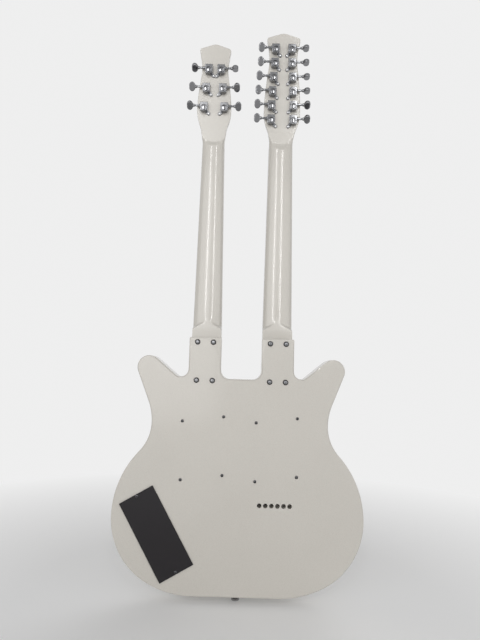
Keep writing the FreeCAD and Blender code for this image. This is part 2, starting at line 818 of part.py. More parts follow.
def box(name, low, high):
    """A box between two corners."""
    return primitive("Box", name, low, Length=high[0] - low[0], Width=high[1] - low[1],
                     Height=high[2] - low[2])


def cylinder(name, base, radius, height, axis="z"):
    return primitive("Cylinder", name, base, axis, Radius=radius, Height=height)


def rod(name, base, radius, height, axis="z", sides=HOLE_SIDES):
    """A many-sided rod inside a circle, for small pieces: it keeps the mesh light."""
    return primitive("Prism", name, base, axis, Polygon=sides, Circumradius=radius, Height=height)


def bore(name, base, radius, height, axis="z"):
    """An eight-sided cut whose flat sides stand at the radius."""
    return rod(name, base, radius * (1.0 / math.cos(math.pi / HOLE_SIDES)), height, axis, HOLE_SIDES)


def fuse(name, *parts):
    thing = doc.addObject("Part::MultiFuse", name)
    thing.Shapes = list(parts)
    thing.Refine = True
    return thing


def cut(name, base, tool):
    thing = doc.addObject("Part::Cut", name)
    thing.Base = base
    thing.Tool = tool
    return thing


outputs = {}


def output(label, shape):
    """A finished piece, or a group of like pieces, as one node."""
    thing = doc.addObject("Part::Feature", label)
    thing.Label = label
    thing.Shape = shape
    outputs[label] = thing
    return thing


# One tuner, lying on the back of a head: its X points out to the button, Z away from the
# head. The worm passes above the post, so the right and left tuners are mirror images.
tuner_shapes = {}
for side, hand in ((1.0, "right"), (-1.0, "left")):
    half_width = S.housing_width / 2
    low_y = -S.housing_below if side > 0 else -S.housing_above
    high_y = S.housing_above if side > 0 else S.housing_below
    block = box(f"housing_block_{hand}", (-half_width, low_y, 0.0),
                (half_width, high_y, S.housing_depth))
    cap = rod(f"housing_cap_{hand}", (0.0, 0.0, S.housing_depth), S.cap_radius, S.cap_rise,
              sides=ROUND_SIDES)
    ear = rod(f"housing_ear_{hand}", (-S.ear_inset, -side * S.ear_drop, 0.0),
              S.ear_radius, S.ear_thickness)
    whole = fuse(f"housing_whole_{hand}", block, cap, ear)
    post_bore = bore(f"post_bore_{hand}", (0.0, 0.0, -S.overrun), S.post_radius + S.running_gap,
                     S.overrun + S.post_depth_in_housing)
    shaft_bore = bore(f"shaft_bore_{hand}",
                      (half_width - S.shaft_seat, side * S.shaft_offset, S.shaft_level),
                      S.shaft_radius + S.running_gap, S.shaft_seat + S.overrun, "x")
    housing = cut(f"housing_{hand}", cut(f"housing_bored_{hand}", whole, post_bore), shaft_bore)
    shaft = rod(f"shaft_{hand}",
                (half_width - S.shaft_seat + S.running_gap, side * S.shaft_offset, S.shaft_level),
                S.shaft_radius, S.shaft_seat + S.shaft_length, "x")
    grip_x = half_width + S.shaft_length - S.running_gap * 2
    grip_end = S.button_length / 2
    grip_span = S.button_width / 2 - grip_end
    grip_low = S.shaft_level - S.button_thickness / 2
    lobes = [rod(f"button_lobe_{hand}_{number}",
                 (grip_x + grip_end, side * S.shaft_offset + way * grip_span, grip_low),
                 grip_end, S.button_thickness, sides=ROUND_SIDES)
             for number, way in enumerate((-1.0, 1.0))]
    web = box(f"button_web_{hand}", (grip_x, side * S.shaft_offset - grip_span, grip_low),
              (grip_x + S.button_length, side * S.shaft_offset + grip_span,
               grip_low + S.button_thickness))
    button = fuse(f"button_{hand}", shaft, *lobes, web)
    post = rod(f"post_{hand}", (0.0, 0.0, -S.head_thickness - S.post_rise), S.post_radius,
               S.head_thickness + S.post_rise + S.post_depth_in_housing - S.running_gap,
               sides=ROUND_SIDES)
    bush_back = -S.head_thickness - S.nut_hex_thickness
    hexagon = rod(f"bush_hex_{hand}", (0.0, 0.0, bush_back), S.nut_hex_across / 2,
                  S.nut_hex_thickness, sides=6)
    bush_bore = bore(f"bush_bore_{hand}", (0.0, 0.0, bush_back - S.overrun),
                     S.post_radius + S.running_gap, S.nut_hex_thickness + S.overrun * 2)
    bush = cut(f"bush_{hand}", hexagon, bush_bore)
    tuner_shapes[hand] = {"housing": housing, "button": button, "post": post, "bush": bush}
doc.recompute()


def on_head(x, along, out=0.0):
    """A point of a head: across, up from the nut, and out from its front face."""
    tilt = math.radians(float(S.head_tilt))
    across = float(along)
    return Vector(float(x),
                  float(S.neck_front_y - S.head_step) - across * math.sin(tilt)
                  + float(out) * math.cos(tilt),
                  float(nut_z) + across * math.cos(tilt) + float(out) * math.sin(tilt))


def tuner_placement(side, x, along):
    """Puts a tuner's own frame on the back of the head."""
    tilt = float(S.head_tilt)
    turn = Rotation(Vector(1, 0, 0), 90 + tilt)
    if side < 0:
        turn = turn.multiply(Rotation(Vector(0, 0, 1), 180))
    return Placement(on_head(x, along, -S.head_thickness), turn)


# How far each button is turned out of the head's plane in the photo, in degrees: the left row
# from the nut up, then the right one
BUTTON_TURNS = {
    "six": (50.0, 25.0, 60.0, 40.0, 50.0, 85.0),
    "twelve": (10.0, 20.0, 5.0, 15.0, 10.0, 15.0, 55.0, 60.0, 85.0, 85.0, 85.0, 85.0),
}
housings = []
bushes = []
count = {}
for label, side, x, along in tuners:
    hand = "right" if side > 0 else "left"
    place = tuner_placement(side, x, along)
    count[label] = count.get(label, 0) + 1
    turn = Placement(Vector(), Rotation(Vector(1, 0, 0), side * BUTTON_TURNS[label][count[label] - 1]),
                     Vector(0.0, side * float(S.shaft_offset), float(S.shaft_level)))
    for kind, stand in (("button", turn), ("post", Placement())):
        shape = tuner_shapes[hand][kind].Shape.copy()
        shape.Placement = place.multiply(stand).multiply(shape.Placement)
        output(f"tuner_{kind}_{label}_{count[label]}", shape)
    for kind, group in (("housing", housings), ("bush", bushes)):
        shape = tuner_shapes[hand][kind].Shape.copy()
        shape.Placement = place.multiply(shape.Placement)
        group.append(shape)
output("tuner_housings", Part.makeCompound(housings + bushes))

# Fretboards, with the frets across them and the nut at their upper end
board_top_y = S.neck_front_y + S.board_thickness
FRETS = 21
boards = {}
frets = []
nuts = []
nut_widths = {"six": S.nut_width_six, "twelve": S.nut_width_twelve}
for label, (body, centre, *rest) in NECKS.items():
    board = new_body(f"fretboard_{label}")
    low = board_half(nut_widths[label], S.board_end_z)
    high = nut_widths[label] / 2
    plan = sketch_on(board, f"board_{label}_outline", level=-S.neck_front_y)
    draw(plan, (centre - low, S.board_end_z), ((centre + low, S.board_end_z),),
         ((centre + high, nut_z),), ((centre - high, nut_z),), ((centre - low, S.board_end_z),))
    pad(board, f"board_{label}", plan, S.board_thickness)
    boards[label] = board
    nut_box = box(f"nut_{label}", (centre - high, S.neck_front_y, nut_z),
                  (centre + high, board_top_y + S.nut_rise, nut_z + S.nut_thickness))
    nuts.append(nut_box)
    for number in range(1, FRETS + 1):
        z = S.saddle_z.number + S.scale_length.number * 2 ** (-number / 12)
        fall = (nut_z.number - z) / (nut_z.number - S.board_end_z.number)
        half = high.number + (low.number - high.number) * fall - S.fret_overhang.number
        base = board_top_y.number
        crown = S.fret_width.number / 4
        wide = S.fret_width.number / 2
        profile = [(z - wide, 0.0), (z + wide, 0.0), (z + crown, S.fret_rise.number),
                   (z - crown, S.fret_rise.number)]
        points = [Vector(centre.number - half, base + rise, place) for place, rise in profile]
        face = Part.Face(Part.makePolygon(points + points[:1]))
        frets.append(face.extrude(Vector(half * 2, 0, 0)))
doc.recompute()
output("frets", Part.makeCompound(frets))
output("nuts", Part.makeCompound([thing.Shape for thing in nuts]))

# Tube pickups. Each is a closed metal tube with round ends on its own height screws.
pickup_parts = []
for number, (x, z) in enumerate(pickup_places):
    low_y = front_y + S.pickup_lift
    radius = S.pickup_width / 2
    reach = S.pickup_length / 2 - radius
    web = box(f"pickup_web_{number}", (x - reach, low_y, z - radius),
              (x + reach, low_y + S.pickup_height, z + radius))
    ends = [cylinder(f"pickup_end_{number}_{end}", (x + way * reach, low_y, z), radius,
                     S.pickup_height, "y") for end, way in enumerate((-1.0, 1.0))]
    body = fuse(f"pickup_body_{number}", web, *ends)
    bores = [bore(f"pickup_bore_{number}_{end}",
                  (x + way * S.pickup_screw_span, low_y - S.overrun,
                   z + way * S.pickup_screw_stagger),
                  S.pickup_screw_radius + S.running_gap, S.pickup_height / 2 + S.overrun, "y")
             for end, way in enumerate((-1.0, 1.0))]
    pickup_parts.append(cut(f"pickup_bored_{number}", body, fuse(f"pickup_bores_{number}", *bores)))
doc.recompute()
output("pickups", Part.makeCompound([thing.Shape for thing in pickup_parts]))


def screw(name, x, z, from_y, head_radius, head_height, shank_radius, length):
    """A round-headed screw that goes in from the back towards the front."""
    head = rod(f"{name}_head", (x, from_y - head_height, z), head_radius, head_height, "y")
    shank = rod(f"{name}_shank", (x, from_y - head_height / 2, z), shank_radius,
                length + head_height / 2, "y")
    return fuse(name, head, shank)


neck_screw_things = []
cups = []
for number, (x, z) in enumerate(neck_screws):
    seat_y = back_y - S.cup_height
    neck_screw_things.append(screw(f"neck_screw_{number}", x, z, seat_y, S.screw_head_radius,
                                   S.screw_head_height, S.neck_screw_radius, S.neck_screw_length))
    disc = rod(f"cup_disc_{number}", (x, back_y - S.cup_height, z), S.cup_radius, S.cup_height, "y")
    hole = bore(f"cup_hole_{number}", (x, back_y - S.cup_height - S.overrun, z), neck_hole,
                S.cup_height + S.overrun * 2, "y")
    cups.append(cut(f"cup_{number}", disc, hole))
pickup_screw_things = [
    screw(f"pickup_screw_{number}", x, z, back_y, S.pickup_screw_head_radius,
          S.pickup_screw_head_height, S.pickup_screw_radius,
          S.body_depth + S.pickup_lift + S.pickup_height / 2 - S.overrun)
    for number, (x, z) in enumerate(pickup_screws)]
cover_screw_things = [
    screw(f"cover_screw_{number}", x, z, back_y - S.cover_thickness, S.cover_screw_head_radius,
          S.cover_screw_head_height, S.cover_screw_radius, S.cover_screw_length)
    for number, (x, z) in enumerate(cover_screws)]
doc.recompute()
output("neck_screws", Part.makeCompound([thing.Shape for thing in neck_screw_things + cups]))
back_screws = [thing.Shape for thing in pickup_screw_things + cover_screw_things]

# Bridges: a bent plate, whose lower flange holds the ball ends, with six saddles on it
plate_top_y = front_y + S.bridge_thickness
plate_low_z = S.saddle_z + S.saddle_length / 2 + S.bridge_margin - S.bridge_length
bridge_plates = []
saddles = []
saddle_top_y = plate_top_y + S.saddle_height
SADDLE_REAR_SHARE = 0.42
SADDLE_FRONT_SHARE = 0.70


def saddle(x):
    """A wedge whose crest carries the string; it falls away to the rear, under the string."""
    rear_z = S.saddle_z - S.saddle_length / 2
    front_z = S.saddle_z + S.saddle_length / 2
    side = [(plate_top_y, rear_z), (plate_top_y + S.saddle_height * SADDLE_REAR_SHARE, rear_z),
            (saddle_top_y, S.saddle_z),
            (plate_top_y + S.saddle_height * SADDLE_FRONT_SHARE, front_z), (plate_top_y, front_z)]
    points = [Vector(float(x - S.saddle_width / 2), float(y), float(z)) for y, z in side]
    face = Part.Face(Part.makePolygon(points + points[:1]))
    return face.extrude(Vector(float(S.saddle_width), 0, 0))


for label, (body, centre, *rest) in NECKS.items():
    half = S.bridge_width / 2
    plate = box(f"bridge_plate_{label}", (centre - half, front_y, plate_low_z),
                (centre + half, plate_top_y, plate_low_z + S.bridge_length))
    flange = box(f"bridge_flange_{label}", (centre - half, front_y, plate_low_z),
                 (centre + half, front_y + S.bridge_flange, plate_low_z + S.bridge_thickness))
    bent = fuse(f"bridge_bent_{label}", plate, flange)
    if label == "twelve":
        holes = [bore(f"bridge_hole_{number}", (x, front_y - S.overrun, z), S.string_bore,
                      S.bridge_thickness + S.overrun * 2, "y")
                 for number, (x, z) in enumerate(string_holes)]
        bent = cut("bridge_drilled_twelve", bent, fuse("bridge_holes", *holes))
    bridge_plates.append(bent)
    for number in range(COURSES):
        saddles.append(saddle(centre + S.bridge_spread * (number / STRING_PITCHES - 1 / 2)))
doc.recompute()
output("bridge_plates", Part.makeCompound([thing.Shape for thing in bridge_plates]))
output("saddles", Part.makeCompound(saddles))

# Strings: bridge, saddle, nut and post, from the treble side to the bass side of each neck
STRING_SHARES = (0.24, 0.30, 0.40, 0.60, 0.80, 1.0)
OCTAVE_SHARES = (1.0, 1.0, 0.6, 0.5, 0.5, 0.5)
STRING_SIDES = 6
STRING_FLAT_SHARE = math.cos(math.pi / STRING_SIDES)


def string_along(points, radius):
    """A six-sided wire along straight runs, mitred where it bends, so that every face is flat."""
    runs = [(end - start).normalize() for start, end in zip(points, points[1:])]
    across = (Vector(1, 0, 0) - runs[0] * runs[0].x).normalize()
    up = runs[0].cross(across)
    ring = []
    for number in range(STRING_SIDES):
        angle = 2 * math.pi * number / STRING_SIDES
        ring.append(points[0] + across * (radius * math.cos(angle)) + up * (radius * math.sin(angle)))
    rings = [ring]
    for number, run in enumerate(runs):
        point = points[number + 1]
        normal = run + runs[min(number + 1, len(runs) - 1)]
        ring = [corner + run * ((point - corner).dot(normal) / run.dot(normal)) for corner in ring]
        rings.append(ring)
    faces = [Part.Face(Part.makePolygon(end + end[:1])) for end in (rings[0], rings[-1])]
    for low, high in zip(rings, rings[1:]):
        for number in range(STRING_SIDES):
            following = (number + 1) % STRING_SIDES
            corners = [low[number], low[following], high[following], high[number]]
            faces.append(Part.Face(Part.makePolygon(corners + corners[:1])))
    shell = Part.makeShell(faces)
    shell.sewShape()
    solid = Part.makeSolid(shell)
    if solid.Volume < 0:
        solid.reverse()
    return solid


strings = []
nut_spreads = {"six": S.nut_spread_six, "twelve": S.nut_spread_twelve}
for label, (body, centre, half, shares, first, pitch) in NECKS.items():
    doubled = label == "twelve"
    paths = []
    for course in range(COURSES):
        for member in ((-1, 1) if doubled else (0,)):
            radius = float(S.string_radius) * STRING_SHARES[course]
            if member > 0:
                radius *= OCTAVE_SHARES[course]
            share = course / STRING_PITCHES - 1 / 2
            pair = member * float(S.pair_gap) / 2
            saddle_x = float(centre) + float(S.bridge_spread) * share + pair
            nut_x = float(centre) + float(nut_spreads[label]) * share + pair
            paths.append((saddle_x, nut_x, radius, member < 0))
    last = len(paths)
    for number, (saddle_x, nut_x, radius, through_body) in enumerate(paths):
        side = -1.0 if number < last / 2 else 1.0
        rank = number if side < 0 else last - 1 - number
        post_x = float(centre) + side * float(half) * shares[rank]
        post_x -= side * (float(S.post_radius) + radius + float(S.string_clear))
        along = float(first) + float(pitch) * rank
        lift = radius * STRING_FLAT_SHARE
        if through_body:
            start = [Vector(saddle_x, float(S.string_start_y), float(S.string_hole_z)),
                     Vector(saddle_x, float(plate_top_y) + radius, float(S.string_hole_z))]
        else:
            start = [Vector(saddle_x, float(front_y + S.flange_hole_rise),
                            float(plate_low_z + S.bridge_thickness))]
        path = start + [
            Vector(saddle_x, float(saddle_top_y) + lift, float(S.saddle_z)),
            Vector(nut_x, float(board_top_y + S.nut_rise) + lift, float(nut_z + S.nut_thickness)),
            on_head(post_x, along, S.wrap_height)]
        strings.append(string_along(path, radius))
output("strings", Part.makeCompound(strings))

# Controls on the front, over the cavity
bush_top_y = front_y + S.bush_rise
pots = []
switches = []
for name in ("volume_knob", "tone_knob"):
    x, z = control_places[name]
    can = rod(f"{name}_can", (x, core_front_y - S.pot_height, z), S.pot_radius, S.pot_height, "y")
    bush = rod(f"{name}_bush", (x, core_front_y - S.overrun, z), S.bush_radius,
               bush_top_y - core_front_y + S.overrun, "y")
    shaft_bore = bore(f"{name}_bore", (x, core_front_y - S.overrun, z),
                      S.pot_shaft_radius + S.running_gap,
                      bush_top_y - core_front_y + S.overrun * 2, "y")
    pots.append(cut(f"{name}_pot", fuse(f"{name}_pot_whole", can, bush), shaft_bore))
    base_y = front_y + S.knob_lift
    grip = rod(f"{name}_grip", (x, base_y, z), S.knob_radius, S.knob_height, "y", KNOB_SIDES)
    recess = bore(f"{name}_recess", (x, base_y - S.overrun, z), S.bush_radius + S.screw_gap * 2,
                  S.bush_rise + S.overrun, "y")
    stem = rod(f"{name}_stem", (x, core_front_y - S.overrun / 2, z), S.pot_shaft_radius,
               base_y + S.knob_height / 2 - core_front_y, "y")
    knob = fuse(f"{name}_whole", cut(f"{name}_hollow", grip, recess), stem)
    doc.recompute()
    output(name, knob.Shape)
for name in ("pickup_switch", "neck_switch"):
    x, z = control_places[name]
    half_width = S.switch_width / 2
    can = box(f"{name}_can", (x - half_width, core_front_y - S.switch_depth, z - S.switch_width),
              (x + half_width, core_front_y, z + S.switch_width))
    bush = rod(f"{name}_bush", (x, core_front_y - S.overrun, z), S.bush_radius,
               bush_top_y - core_front_y + S.overrun, "y")
    lever_bore = bore(f"{name}_bore", (x, core_front_y - S.lever_pivot_radius, z),
                      S.lever_pivot_radius + S.running_gap,
                      bush_top_y - core_front_y + S.lever_pivot_radius + S.overrun, "y")
    switches.append(cut(f"{name}_body", fuse(f"{name}_body_whole", can, bush), lever_bore))
    half_pin = S.lever_pivot_half
    pivot = rod(f"{name}_pivot", (x - half_pin, front_y, z), S.lever_pin_radius, half_pin * 2, "x")
    bar = rod(f"{name}_bar", (x, front_y, z), S.lever_radius, S.bush_rise + S.lever_length, "y")
    tip = rod(f"{name}_tip", (x, bush_top_y + S.lever_length / 2, z), S.lever_ball,
              S.lever_length / 2, "y")
    lever = fuse(f"{name}_lever", pivot, bar, tip)
    doc.recompute()
    output(name, lever.Shape)
x, z = control_places["output_jack"]
flange = rod("jack_flange", (x, front_y, z), S.jack_flange_radius, S.jack_flange, "y", ROUND_SIDES)
barrel = rod("jack_barrel", (x, front_y - S.jack_depth, z), S.jack_barrel_radius,
             S.jack_depth + S.jack_flange / 2, "y")
jack_hole = cylinder("jack_hole", (x, front_y - S.jack_depth + S.overrun, z), S.jack_bore,
                     S.jack_depth + S.jack_flange + S.overrun, "y")
jack = cut("jack_whole", fuse("jack_closed", flange, barrel), jack_hole)
doc.recompute()
output("pots_and_switches", Part.makeCompound([thing.Shape for thing in pots + switches]))
output("output_jack", jack.Shape)

# Strap buttons: one on the bottom rim, one on the front of the twelve-string side's horn
STRAP_BASE_SHARE = 0.20
STRAP_WAIST_SHARE = 0.42


def strap_button(name):
    """A turned button on a screw, standing on its foot; only its waist, which fits a strap, is round."""
    foot = S.strap_rise * STRAP_BASE_SHARE
    waist = S.strap_rise * STRAP_WAIST_SHARE
    crown = S.strap_rise - foot - waist
    return fuse(name, rod(f"{name}_foot", (0.0, 0.0, 0.0), S.strap_base_radius, foot,
                          sides=ROUND_SIDES),
                cylinder(f"{name}_waist", (0.0, 0.0, foot), S.strap_waist_radius, waist),
                rod(f"{name}_crown", (0.0, 0.0, foot + waist), S.strap_rim_radius, crown,
                    sides=ROUND_SIDES),
                rod(f"{name}_shank", (0.0, 0.0, -S.strap_screw_length), S.strap_screw_radius,
                    S.strap_screw_length + foot / 2))


strap_shape = strap_button("strap_button")
doc.recompute()
buttons = []
for base, way in (((0.0, 0.0, 0.0), Vector(0, 0, -1)),
                  ((horn[0], front_y, horn[1]), Vector(0, 1, 0))):
    button = strap_shape.Shape.copy()
    button.Placement = Placement(Vector(*[float(value) for value in base]),
                                 Rotation(Vector(0, 0, 1), way))
    buttons.append(button)
output("strap_buttons", Part.makeCompound(buttons))

# Holes for the two strap screws
strap_hole = S.strap_screw_radius + S.running_gap
end_hole = sketch_on(body_core, "end_strap_place", role="XY_Plane")
draw_circle(end_hole, (0.0, 0.0), strap_hole)
end_pocket = body_core.newObject("PartDesign::Pocket", "end_strap_hole")
end_pocket.Profile = end_hole
end_pocket.Reversed = True
bind(end_pocket, Length=S.strap_screw_length + S.overrun)
drill(body_core, "core_horn_strap_hole", [horn], strap_hole,
      front_y - S.strap_screw_length - S.overrun, core_front_y)
drill(body_top, "top_horn_strap_hole", [horn], strap_hole, core_front_y, past_front_y)

# Small screw in each tuner's ear
ear_screws = {side: rod(f"ear_screw_{hand}", (-S.ear_inset, -side * S.ear_drop, S.ear_thickness),
                        S.ear_screw_radius, S.ear_screw_rise)
              for side, hand in ((1.0, "right"), (-1.0, "left"))}
doc.recompute()
for label, side, x, along in tuners:
    head = ear_screws[side].Shape.copy()
    head.Placement = tuner_placement(side, x, along).multiply(head.Placement)
    back_screws.append(head)
output("back_screws", Part.makeCompound(back_screws))

# Check every object and every sub-part, then write the files
doc.recompute()
for thing in [body_core, body_back, body_top, control_cover, neck_six, neck_twelve,
              boards["six"], boards["twelve"]]:
    outputs[thing.Label] = thing
faults = [thing.Name for thing in doc.Objects if "Invalid" in thing.State or "Error" in thing.State]
for label, thing in outputs.items():
    if thing.Shape.isNull() or not thing.Shape.isValid() or not thing.Shape.Solids:
        faults.append(label)
if faults:
    raise RuntimeError(f"not built: {faults}")
os.makedirs("parts", exist_ok=True)
for label, thing in outputs.items():
    thing.Shape.exportStep(os.path.join("parts", f"{label}.step"))
print(len(outputs), "sub-parts written")
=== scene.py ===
import math

import bpy
from mathutils import Matrix, Vector


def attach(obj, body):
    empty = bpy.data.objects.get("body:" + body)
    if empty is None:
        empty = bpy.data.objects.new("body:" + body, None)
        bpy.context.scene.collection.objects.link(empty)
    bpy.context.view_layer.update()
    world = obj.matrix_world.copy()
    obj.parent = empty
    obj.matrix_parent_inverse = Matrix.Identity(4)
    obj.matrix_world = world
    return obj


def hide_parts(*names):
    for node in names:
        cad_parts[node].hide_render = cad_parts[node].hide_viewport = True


# Double-neck electric guitar seen from the back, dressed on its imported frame. Metres, Z up along
# the necks, the back at -Y and the strings at +Y.
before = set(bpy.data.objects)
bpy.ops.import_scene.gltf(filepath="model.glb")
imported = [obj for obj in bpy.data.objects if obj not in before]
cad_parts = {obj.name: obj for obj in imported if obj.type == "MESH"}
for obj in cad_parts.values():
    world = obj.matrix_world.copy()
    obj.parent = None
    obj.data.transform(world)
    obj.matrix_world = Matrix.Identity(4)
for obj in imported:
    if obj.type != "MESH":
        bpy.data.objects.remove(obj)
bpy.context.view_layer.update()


# Body: a wooden frame between a back and a top sheet, sprayed all over in pearl white and
# polished. The rims are rounded by hand before the paint, so no edge is sharp.
class Value:
    """A node's output that works in sums; every sign adds a Math node."""

    def __init__(self, tree, socket):
        self.tree = tree
        self.socket = socket

    @staticmethod
    def node(tree, kind, settings, inputs):
        """One node: its settings first, then the values or links of its sockets."""
        node = tree.nodes.new(kind)
        for name, value in settings.items():
            setattr(node, name, value)
        for name, value in inputs.items():
            if isinstance(value, Value):
                tree.links.new(value.socket, node.inputs[name])
            else:
                node.inputs[name].default_value = value
        return Value(tree, node.outputs[0])

    def output(self, name):
        """Another output of the same node."""
        return Value(self.tree, self.socket.node.outputs[name])

    def maths(self, operation, first, second):
        return Value.node(self.tree, "ShaderNodeMath", {"operation": operation},
                          {0: first, 1: second})

    def __add__(self, other):
        return self.maths("ADD", self, other)

    __radd__ = __add__

    def __sub__(self, other):
        return self.maths("SUBTRACT", self, other)

    def __rsub__(self, other):
        return self.maths("SUBTRACT", other, self)

    def __mul__(self, other):
        return self.maths("MULTIPLY", self, other)

    __rmul__ = __mul__


def surface(name, colour, metallic, roughness, **fixed):
    """A material with its shader's even values set; what varies is linked afterwards."""
    material = bpy.data.materials.new(name)
    material.use_nodes = True
    shader = material.node_tree.nodes["Principled BSDF"]
    shader.inputs["Base Color"].default_value = (*colour, 1)
    shader.inputs["Metallic"].default_value = metallic
    shader.inputs["Roughness"].default_value = roughness
    for socket, value in fixed.items():
        shader.inputs[socket.replace("_", " ")].default_value = value
    return material


def feed(material, socket, value):
    """Links a value that varies to a socket of the material's shader."""
    shader = material.node_tree.nodes["Principled BSDF"]
    material.node_tree.links.new(value.socket, shader.inputs[socket])


def object_place(tree):
    """The place on the piece, in metres."""
    return Value.node(tree, "ShaderNodeTexCoord", {}, {}).output("Object")


def noise(tree, scale, detail=2.0, stretch=(1, 1, 1)):
    """A cloudy pattern; a small number in stretch draws it out along that axis."""
    place = Value.node(tree, "ShaderNodeMapping", {},
                       {"Vector": object_place(tree), "Scale": stretch})
    return Value.node(tree, "ShaderNodeTexNoise", {},
                      {"Vector": place, "Scale": scale, "Detail": detail})


def tinted(tree, share, dark, light):
    """A colour between two; 0, 6, 7 and 2 are the colour sockets of a Mix node."""
    return Value.node(tree, "ShaderNodeMix", {"data_type": "RGBA"},
                      {0: share, 6: (*dark, 1), 7: (*light, 1)}).output(2)


pearl = surface("pearl_paint", (0.545, 0.52, 0.475), 0.0, 0.28,
                Coat_Weight=0.7, Coat_Roughness=0.105)
tree = pearl.node_tree
feed(pearl, "Base Color",
     tinted(tree, noise(tree, 9.0), (0.525, 0.50, 0.455), (0.565, 0.54, 0.495)))
feed(pearl, "Roughness", 0.22 + 0.12 * noise(tree, 1400.0))


def new_piece(name, data):
    """A new object for a mesh or a curve, linked into the scene."""
    piece = bpy.data.objects.new(name, data)
    bpy.context.scene.collection.objects.link(piece)
    return piece


def choose(piece):
    """Selects one piece alone and makes it the active one."""
    bpy.ops.object.select_all(action="DESELECT")
    bpy.context.view_layer.objects.active = piece
    piece.select_set(True)


def edit(piece):
    """Opens one piece in edit mode with all of it selected."""
    choose(piece)
    bpy.ops.object.mode_set(mode="EDIT")
    bpy.ops.mesh.select_all(action="SELECT")


def leave():
    """Back from edit mode."""
    bpy.ops.object.mode_set(mode="OBJECT")


def pick(piece, kind, chosen):
    """Opens a piece in edit mode with only the chosen points or edges selected."""
    edit(piece)
    bpy.ops.mesh.select_mode(type=kind)
    bpy.ops.mesh.select_all(action="DESELECT")
    leave()
    parts = piece.data.edges if kind == "EDGE" else piece.data.vertices
    for part, wanted in zip(parts, chosen):
        part.select = wanted
    bpy.ops.object.mode_set(mode="EDIT")


def add_modifier(piece, kind, **settings):
    """Adds one modifier and applies it."""
    choose(piece)
    modifier = piece.modifiers.new(kind, kind)
    for name, value in settings.items():
        setattr(modifier, name, value)
    bpy.ops.object.modifier_apply(modifier=modifier.name)


def ease_edges(piece, width, segments, angle, **settings):
    """Rounds every edge that turns by more than the angle in degrees."""
    add_modifier(piece, "BEVEL", width=width, segments=segments, limit_method="ANGLE",
                 angle_limit=math.radians(angle), **settings)


def polish(piece, material, edge=0.0, segments=3, angle=35.0):
    """Eases the edges, shades the piece and paints it."""
    if edge:
        ease_edges(piece, edge, segments, angle, miter_outer="MITER_ARC")
    choose(piece)
    bpy.ops.object.shade_smooth_by_angle(angle=math.radians(angle))
    add_modifier(piece, "WEIGHTED_NORMAL", keep_sharp=True, weight=80)
    piece.data.materials.clear()
    piece.data.materials.append(material)


def from_frame(node, name):
    """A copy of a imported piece, its loose triangles merged into clean faces."""
    piece = new_piece(name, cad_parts[node].data.copy())
    edit(piece)
    bpy.ops.mesh.remove_doubles(threshold=0.000005)
    bpy.ops.mesh.dissolve_limited(angle_limit=math.radians(0.8))
    leave()
    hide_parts(node)
    return piece


MM = 0.001
BACK_Y = -0.021
FRONT_Y = 0.021
BODY_ROUNDING = 0.002
SHARP_COSINE = 0.6


def sharp_edges(piece):
    """The edges between faces that turn sharply, each with its faces' normals."""
    sides = {}
    for face in piece.data.polygons:
        for key in face.edge_keys:
            sides.setdefault(key, []).append(face.normal)
    return {key: normals for key, normals in sides.items()
            if normals[0].dot(normals[-1]) < SHARP_COSINE}


def outline_edges(piece, out_y):
    """The sharp edges round the piece's outside, on its face that lies at out_y."""
    points = piece.data.vertices
    left = {key for key in sharp_edges(piece)
            if all(abs(points[number].co.y - out_y) < 0.1 * MM for number in key)}
    loops = []
    while left:
        loop = {left.pop()}
        ends = set().union(*loop)
        while joining := {key for key in left if ends & set(key)}:
            loop |= joining
            left -= joining
            ends = set().union(*joining)
        loops.append(loop)
    outermost = max(loops, key=lambda loop: max(points[key[0]].co.x for key in loop))
    return [edge.key in outermost for edge in piece.data.edges]


for node, name, out_y in (("body_back", "back_sheet", BACK_Y), ("body_core", "wooden_frame", None),
                          ("body_top", "top_sheet", FRONT_Y)):
    sheet = from_frame(node, name)
    if out_y:
        pick(sheet, "EDGE", outline_edges(sheet, out_y))
        bpy.ops.mesh.bevel(offset=BODY_ROUNDING, segments=4, affect="EDGES", clamp_overlap=False)
        leave()
    polish(sheet, pearl)
    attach(sheet, "guitar")


# Control cover: a stamped plate, glossy black, screwed over the cavity in the back. Fine
# wear makes its gloss a little uneven.
black = surface("black_gloss", (0.018, 0.016, 0.018), 0.0, 0.16, Specular_IOR_Level=0.3)
feed(black, "Roughness", 0.12 + 0.10 * noise(black.node_tree, 60.0, 4.0))
cover = from_frame("control_cover", "cover_plate")
polish(cover, black, 0.0005)
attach(cover, "guitar")


# Necks: each one piece of maple with its head, painted like the body. The rounded back runs out
# below in a pointed arch on the flat heel, and above in a scoop at the flat back of the head.
# Heights, widths and depths are in mm here, and a depth grows towards the front.
NECK_CENTRES = {"six": -64.6, "twelve": 64.6}
HEEL_Z = 456
HEAD_Z = 836
HEAD_EDGE = 1.3
HEAD_TILT = math.radians(6)
HEAD_FLAT = Vector((0, -math.cos(HEAD_TILT), -math.sin(HEAD_TILT)))
ALIGNED_COSINE = 0.99
# Half the width of each neck at heights from the heel's end up to the head
WIDTHS = {"six": ((352, 28.2), (812, 21.0), (820, 21.12), (824, 21.8), (830, 22.79),
                  (HEAD_Z, 23.8)),
          "twelve": ((352, 28.2), (812, 22.5), (824, 22.55), (826, 22.81), (830, 23.64),
                     (HEAD_Z, 25.1))}
# Front: level under the fretboard, a steep step behind the nut, then the head's own slope
FRONT_DEPTH = 24.0
FRONT_END_Z, FRONT_STEP = 817, 0.274
HEAD_LOW_Z, HEAD_FRONT, HEAD_FRONT_SLOPE = 812, 23.0, 0.1051
HEAD_BACK, HEAD_BACK_SLOPE = 10.935, 0.1052
CORNER_Z, CORNER_LENGTH = 818, 14
# Shaft: the straight strip at its sides, its crest and the power of its round section
SIDE_STRIP = 4
CREST, CREST_RISE, CREST_LENGTH = 6.6, 0.9, 358
ROUND_POWER = 2.35
